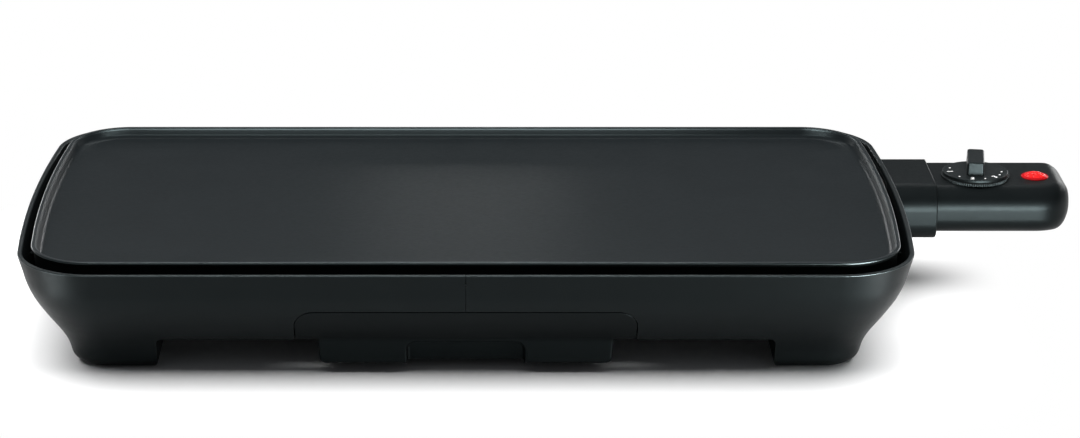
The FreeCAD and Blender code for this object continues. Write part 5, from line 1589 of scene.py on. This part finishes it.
@dataclass
class PilotLight:
    """The domed red lens with petals inside a darker rim."""

    centre: Span = (315.7, 46.5)
    base: float = 57.45
    stem: float = 5.6
    stem_length: float = 4.2
    radius: float = 7.5
    inner: float = 6.5
    rim: float = 0.6
    rim_edge: float = 0.3
    dome: float = 2.2
    facets: int = 8
    fold_depth: float = 0.42
    fold_power: float = 0.7
    cut_power: float = 1.5
    rim_fall: float = 0.1
    # Width and reach of the painted shade in the folds.
    fold_shade_width: float = 0.30
    fold_shade_reach: Span = (0.30, 0.92)

    def build(self) -> None:
        """Make the lens and its rim.

        The dome's height falls with the square of the radius, and a cut that is deepest between
        two petals, half the way out, is taken off it.
        """
        angle = full_turn(self.facets * 12)
        fold = np.abs(np.cos(angle * self.facets / 2)) ** self.fold_power
        low, rim_top = self.base - self.stem_length, self.base + self.rim
        stations = [(0.0, low), (self.stem, low), (self.stem, self.base), (self.inner, self.base)]
        for share in np.linspace(1.0, 0.0, 20):
            cut = self.fold_depth * (1 - fold) * np.sin(math.pi * share) ** self.cut_power
            stations.append((self.inner * share, rim_top + self.dome * (1 - share**2) - cut))
        rings = [circle(self.centre, radius, height, angle) for radius, height in stations]
        lens = skin("pilot_lens_dome", rings, BOTH_MEETING)
        finished(lens, "control", RED_LENS, ["pilot_lens"], crease=25.0)
        # Painted shade: the folds between the petals and the dome's edge wear the darker rim red.
        painted(lens, LENS_RIM_AND_FOLD_SHADE, self.fold_shade_faces)
        edge = self.rim_edge
        profile = [(self.inner, self.base), (self.radius, self.base), (self.radius, rim_top - edge)]
        profile += [(self.radius - edge, rim_top), (self.inner, rim_top - self.rim_fall)]
        profile.append(profile[0])
        rings = [circle(self.centre, radius, height, angle) for radius, height in profile]
        ring = skin("pilot_lens_rim", rings, BOTH_MEETING)
        finished(ring, "control", LENS_RIM_AND_FOLD_SHADE)

    def fold_shade_faces(self, _: np.ndarray, middles: np.ndarray) -> np.ndarray:
        """Faces that are painted darker as shade: in the folds between the petals and round the
        dome's edge.

        A face is in a fold where the cosine that makes the petals is small.

        Args:
            _: the faces' normals, which aren't needed.
            middles: the faces' middles.

        Returns:
            Whether each face is one of them.
        """
        away = middles[:, :2] - (BASE_MIDDLE + self.centre)
        reach = np.hypot(away[:, 0], away[:, 1]) / self.inner
        wave = np.abs(np.cos(np.arctan2(away[:, 1], away[:, 0]) * self.facets / 2))
        near, far = self.fold_shade_reach
        return ((wave < self.fold_shade_width) & (reach > near) & (reach < far)) | (reach > far)


# Carried-over pieces

NODES_BY_FINISH: tuple[tuple[Finish, str], ...] = (
    (BASE_PLASTIC, "base_left base_right"),
    (INNER_PLASTIC, "drawer_cradle front_seam_strap rear_seam_strap cord_gland"),
    (RUBBER, "foot_pad_front_left foot_pad_front_right foot_pad_rear_left foot_pad_rear_right"),
    (SCREW_STEEL, "cradle_screws strap_screws reflector_screws collar_screws cover_screws"),
    (SCREW_STEEL, "dial_spindle knob_clip"),
    (REFLECTOR_STEEL, "heat_reflector switch_bracket"),
    (SHEATH_STEEL, "heating_element temperature_probe"),
    (NONSTICK, "cooking_plate"),
    (INSULATOR, "terminal_block control_nose thermostat_switch"),
    (BRASS, "terminal_pins earth_pin contact_forks spindle_bush"),
    (DRAWER_PLASTIC, "drawer_front drip_tray"),
    (CONTROL_PLASTIC, "connector_collar control_housing control_cover"),
    (DIAL_PLASTIC, "dial_bezel dial_knob"),
    (RED_LENS, "pilot_lens"),
    (LAMP_GLASS, "neon_lamp"),
)
CAD_FINISHES = {name: finish for finish, names in NODES_BY_FINISH for name in names.split()}


def dress_carried_nodes() -> None:
    """Give every node of the frame its finish."""
    for name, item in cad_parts.items():
        CAD_FINISHES[name].dress(item)
        LOG.info("%s wears %s", name, CAD_FINISHES[name].name)


# Studio


@dataclass
class Studio:
    """Floor, lights, world and camera."""

    floor_size: float = 6.0
    floor_colour: Colour = (0.88, 0.88, 0.88)
    plain_half: Span = (0.200, 0.095)
    plain_reach: float = 0.038
    fade_reach: float = 0.100
    world_colour: Colour = (0.55, 0.57, 0.60)
    world_strength: float = 0.20
    camera_place: Point = (-0.0495, -1.693, 0.6126)
    camera_fall: float = 0.322
    camera_shift: Span = (0.0687, 0.0005)
    sensor: float = 36.0
    lens: float = 109.65
    softbox: tuple[Any, ...] = (
        "overhead_softbox",
        (-0.05, 0.22, 1.25),
        (-0.05, 0.0, 0.0),
        (2.6, 2.2),
        92.0,
    )
    glints: tuple[tuple[Any, ...], ...] = (
        ("control_strip", (0.30, -0.26, 0.030), (0.25, 0.02, 0.045), (0.24, 0.05), 3.4),
        ("rear_left_strip", (-0.75, 0.85, 0.20), (-0.15, 0.0, 0.06), (0.5, 0.2), 1.9),
        ("rear_right_strip", (0.78, 0.85, 0.20), (0.05, 0.0, 0.06), (0.5, 0.2), 1.9),
        ("rear_low_lamp", (-0.05, 0.90, 0.11), (-0.05, 0.0, 0.06), (0.16, 0.07), 0.24),
        ("rear_high_strip", (-0.05, 0.75, 0.75), (-0.05, 0.0, 0.06), (1.0, 0.14), 1.8),
        ("rim_strip", (-0.09, -0.06, 0.36), (-0.09, -0.12, 0.06), (0.40, 0.05), 1.6),
        ("left_glint", (-0.305, -0.143, 0.016), (-0.263, -0.124, 0.055), (0.05, 0.03), 0.035),
        ("right_glint", (0.206, -0.143, 0.016), (0.164, -0.124, 0.055), (0.05, 0.03), 0.035),
    )

    def floor(self) -> None:
        """A pale floor that fades into plain white round the object's shadow."""
        half = self.floor_size / 2
        points = [(-half, -half, 0), (half, -half, 0), (half, half, 0), (-half, half, 0)]
        mesh = bpy.data.meshes.new("studio_floor")
        mesh.from_pydata(points, [], [(0, 1, 2, 3)])
        mesh.materials.append(self.floor_material())
        linked("studio_floor", mesh)

    def floor_material(self) -> bpy.types.Material:
        """The floor's material.

        The fade goes by the distance from a rectangle under the base, and is there for camera,
        glossy and transmission rays only.

        Returns:
            The material.
        """
        made = bpy.data.materials.new("pale_floor")
        made.use_nodes = True
        made.node_tree.nodes.clear()
        graph = Graph(made.node_tree)
        place = graph.node("TexCoord", {}).outputs["Object"]
        steps = (
            ("SUBTRACT", {1: (BASE_MIDDLE[0] * MM, 0.0, 0.0)}, "Vector"),
            ("ABSOLUTE", {}, "Vector"),
            ("SUBTRACT", {1: (*self.plain_half, 0.0)}, "Vector"),
            ("MAXIMUM", {1: (0.0, 0.0, 0.0)}, "Vector"),
            ("LENGTH", {}, "Value"),
        )
        for operation, inputs, result in steps:
            step = graph.node("VectorMath", {0: place, **inputs}, operation=operation)
            place = step.outputs[result]
        inputs = {"Value": place, "From Min": self.plain_reach, "From Max": self.fade_reach}
        fade = graph.node("MapRange", inputs, interpolation_type="SMOOTHSTEP").outputs["Result"]
        rays = graph.node("LightPath", {}).outputs
        seen = rays["Is Camera Ray"]
        for kind in ("Is Glossy Ray", "Is Transmission Ray"):
            seen = graph.math("MAXIMUM", seen, rays[kind])
        pale = graph.node("BsdfDiffuse", {"Color": (*self.floor_colour, 1.0)})
        white = graph.node("Emission", {"Color": (1.0, 1.0, 1.0, 1.0), "Strength": 1.0})
        share = graph.math("MULTIPLY", fade, seen)
        both = {"Fac": share, 1: pale.outputs["BSDF"], 2: white.outputs["Emission"]}
        mix = graph.node("MixShader", both)
        graph.node("OutputMaterial", {"Surface": mix.outputs["Shader"]})
        return made

    def world(self) -> None:
        """A plain dim surround."""
        world = bpy.data.worlds.new("studio_world")
        bpy.context.scene.world = world
        world.use_nodes = True
        background = world.node_tree.nodes["Background"]
        background.inputs["Color"].default_value = (*self.world_colour, 1.0)
        background.inputs["Strength"].default_value = self.world_strength

    @staticmethod
    def lamp(name: str, place: Point, aim: Point, size: Span, power: float) -> bpy.types.Object:
        """A softbox that faces a point.

        Args:
            name: the lamp's name.
            place: where it hangs.
            aim: the point that it faces.
            size: its width and height.
            power: its power in watts.

        Returns:
            The lamp.
        """
        data = bpy.data.lights.new(name, "AREA")
        data.shape = "RECTANGLE"
        data.size, data.size_y = size
        data.energy = power
        item = linked(name, data)
        item.location = place
        item.rotation_euler = (Vector(aim) - Vector(place)).to_track_quat("-Z", "Y").to_euler()
        item.visible_camera = False
        return item

    def camera(self) -> None:
        """The camera where the photograph was taken from."""
        data = bpy.data.cameras.new("photo_camera")
        data.sensor_width = self.sensor
        data.lens = self.lens
        data.shift_x, data.shift_y = self.camera_shift
        data.clip_start, data.clip_end = 0.05, 50.0
        item = linked("photo_camera", data)
        item.location = self.camera_place
        item.rotation_euler = (math.pi / 2 - self.camera_fall, 0.0, 0.0)
        bpy.context.scene.camera = item

    def build(self) -> None:
        """Make the studio: one lamp gives the light and the shadow, the others only glints."""
        bpy.context.scene.view_settings.view_transform = "Standard"
        self.camera()
        self.floor()
        self.world()
        self.lamp(*self.softbox).visible_glossy = False
        for glint in self.glints:
            self.lamp(*glint).visible_diffuse = False


def main() -> None:
    """Build the studio and the plancha's pieces in order."""
    logging.basicConfig(level=logging.INFO, format="%(message)s")
    Studio().build()
    dress_carried_nodes()
    shell = BaseShell()
    collar = Collar(shell)
    shell.build(collar)
    collar.build()
    CookingPlate().build()
    DripDrawer(shell).build()
    ControlCase().build()
    Dial().build()
    PilotLight().build()


if __name__ == "__main__":
    main()
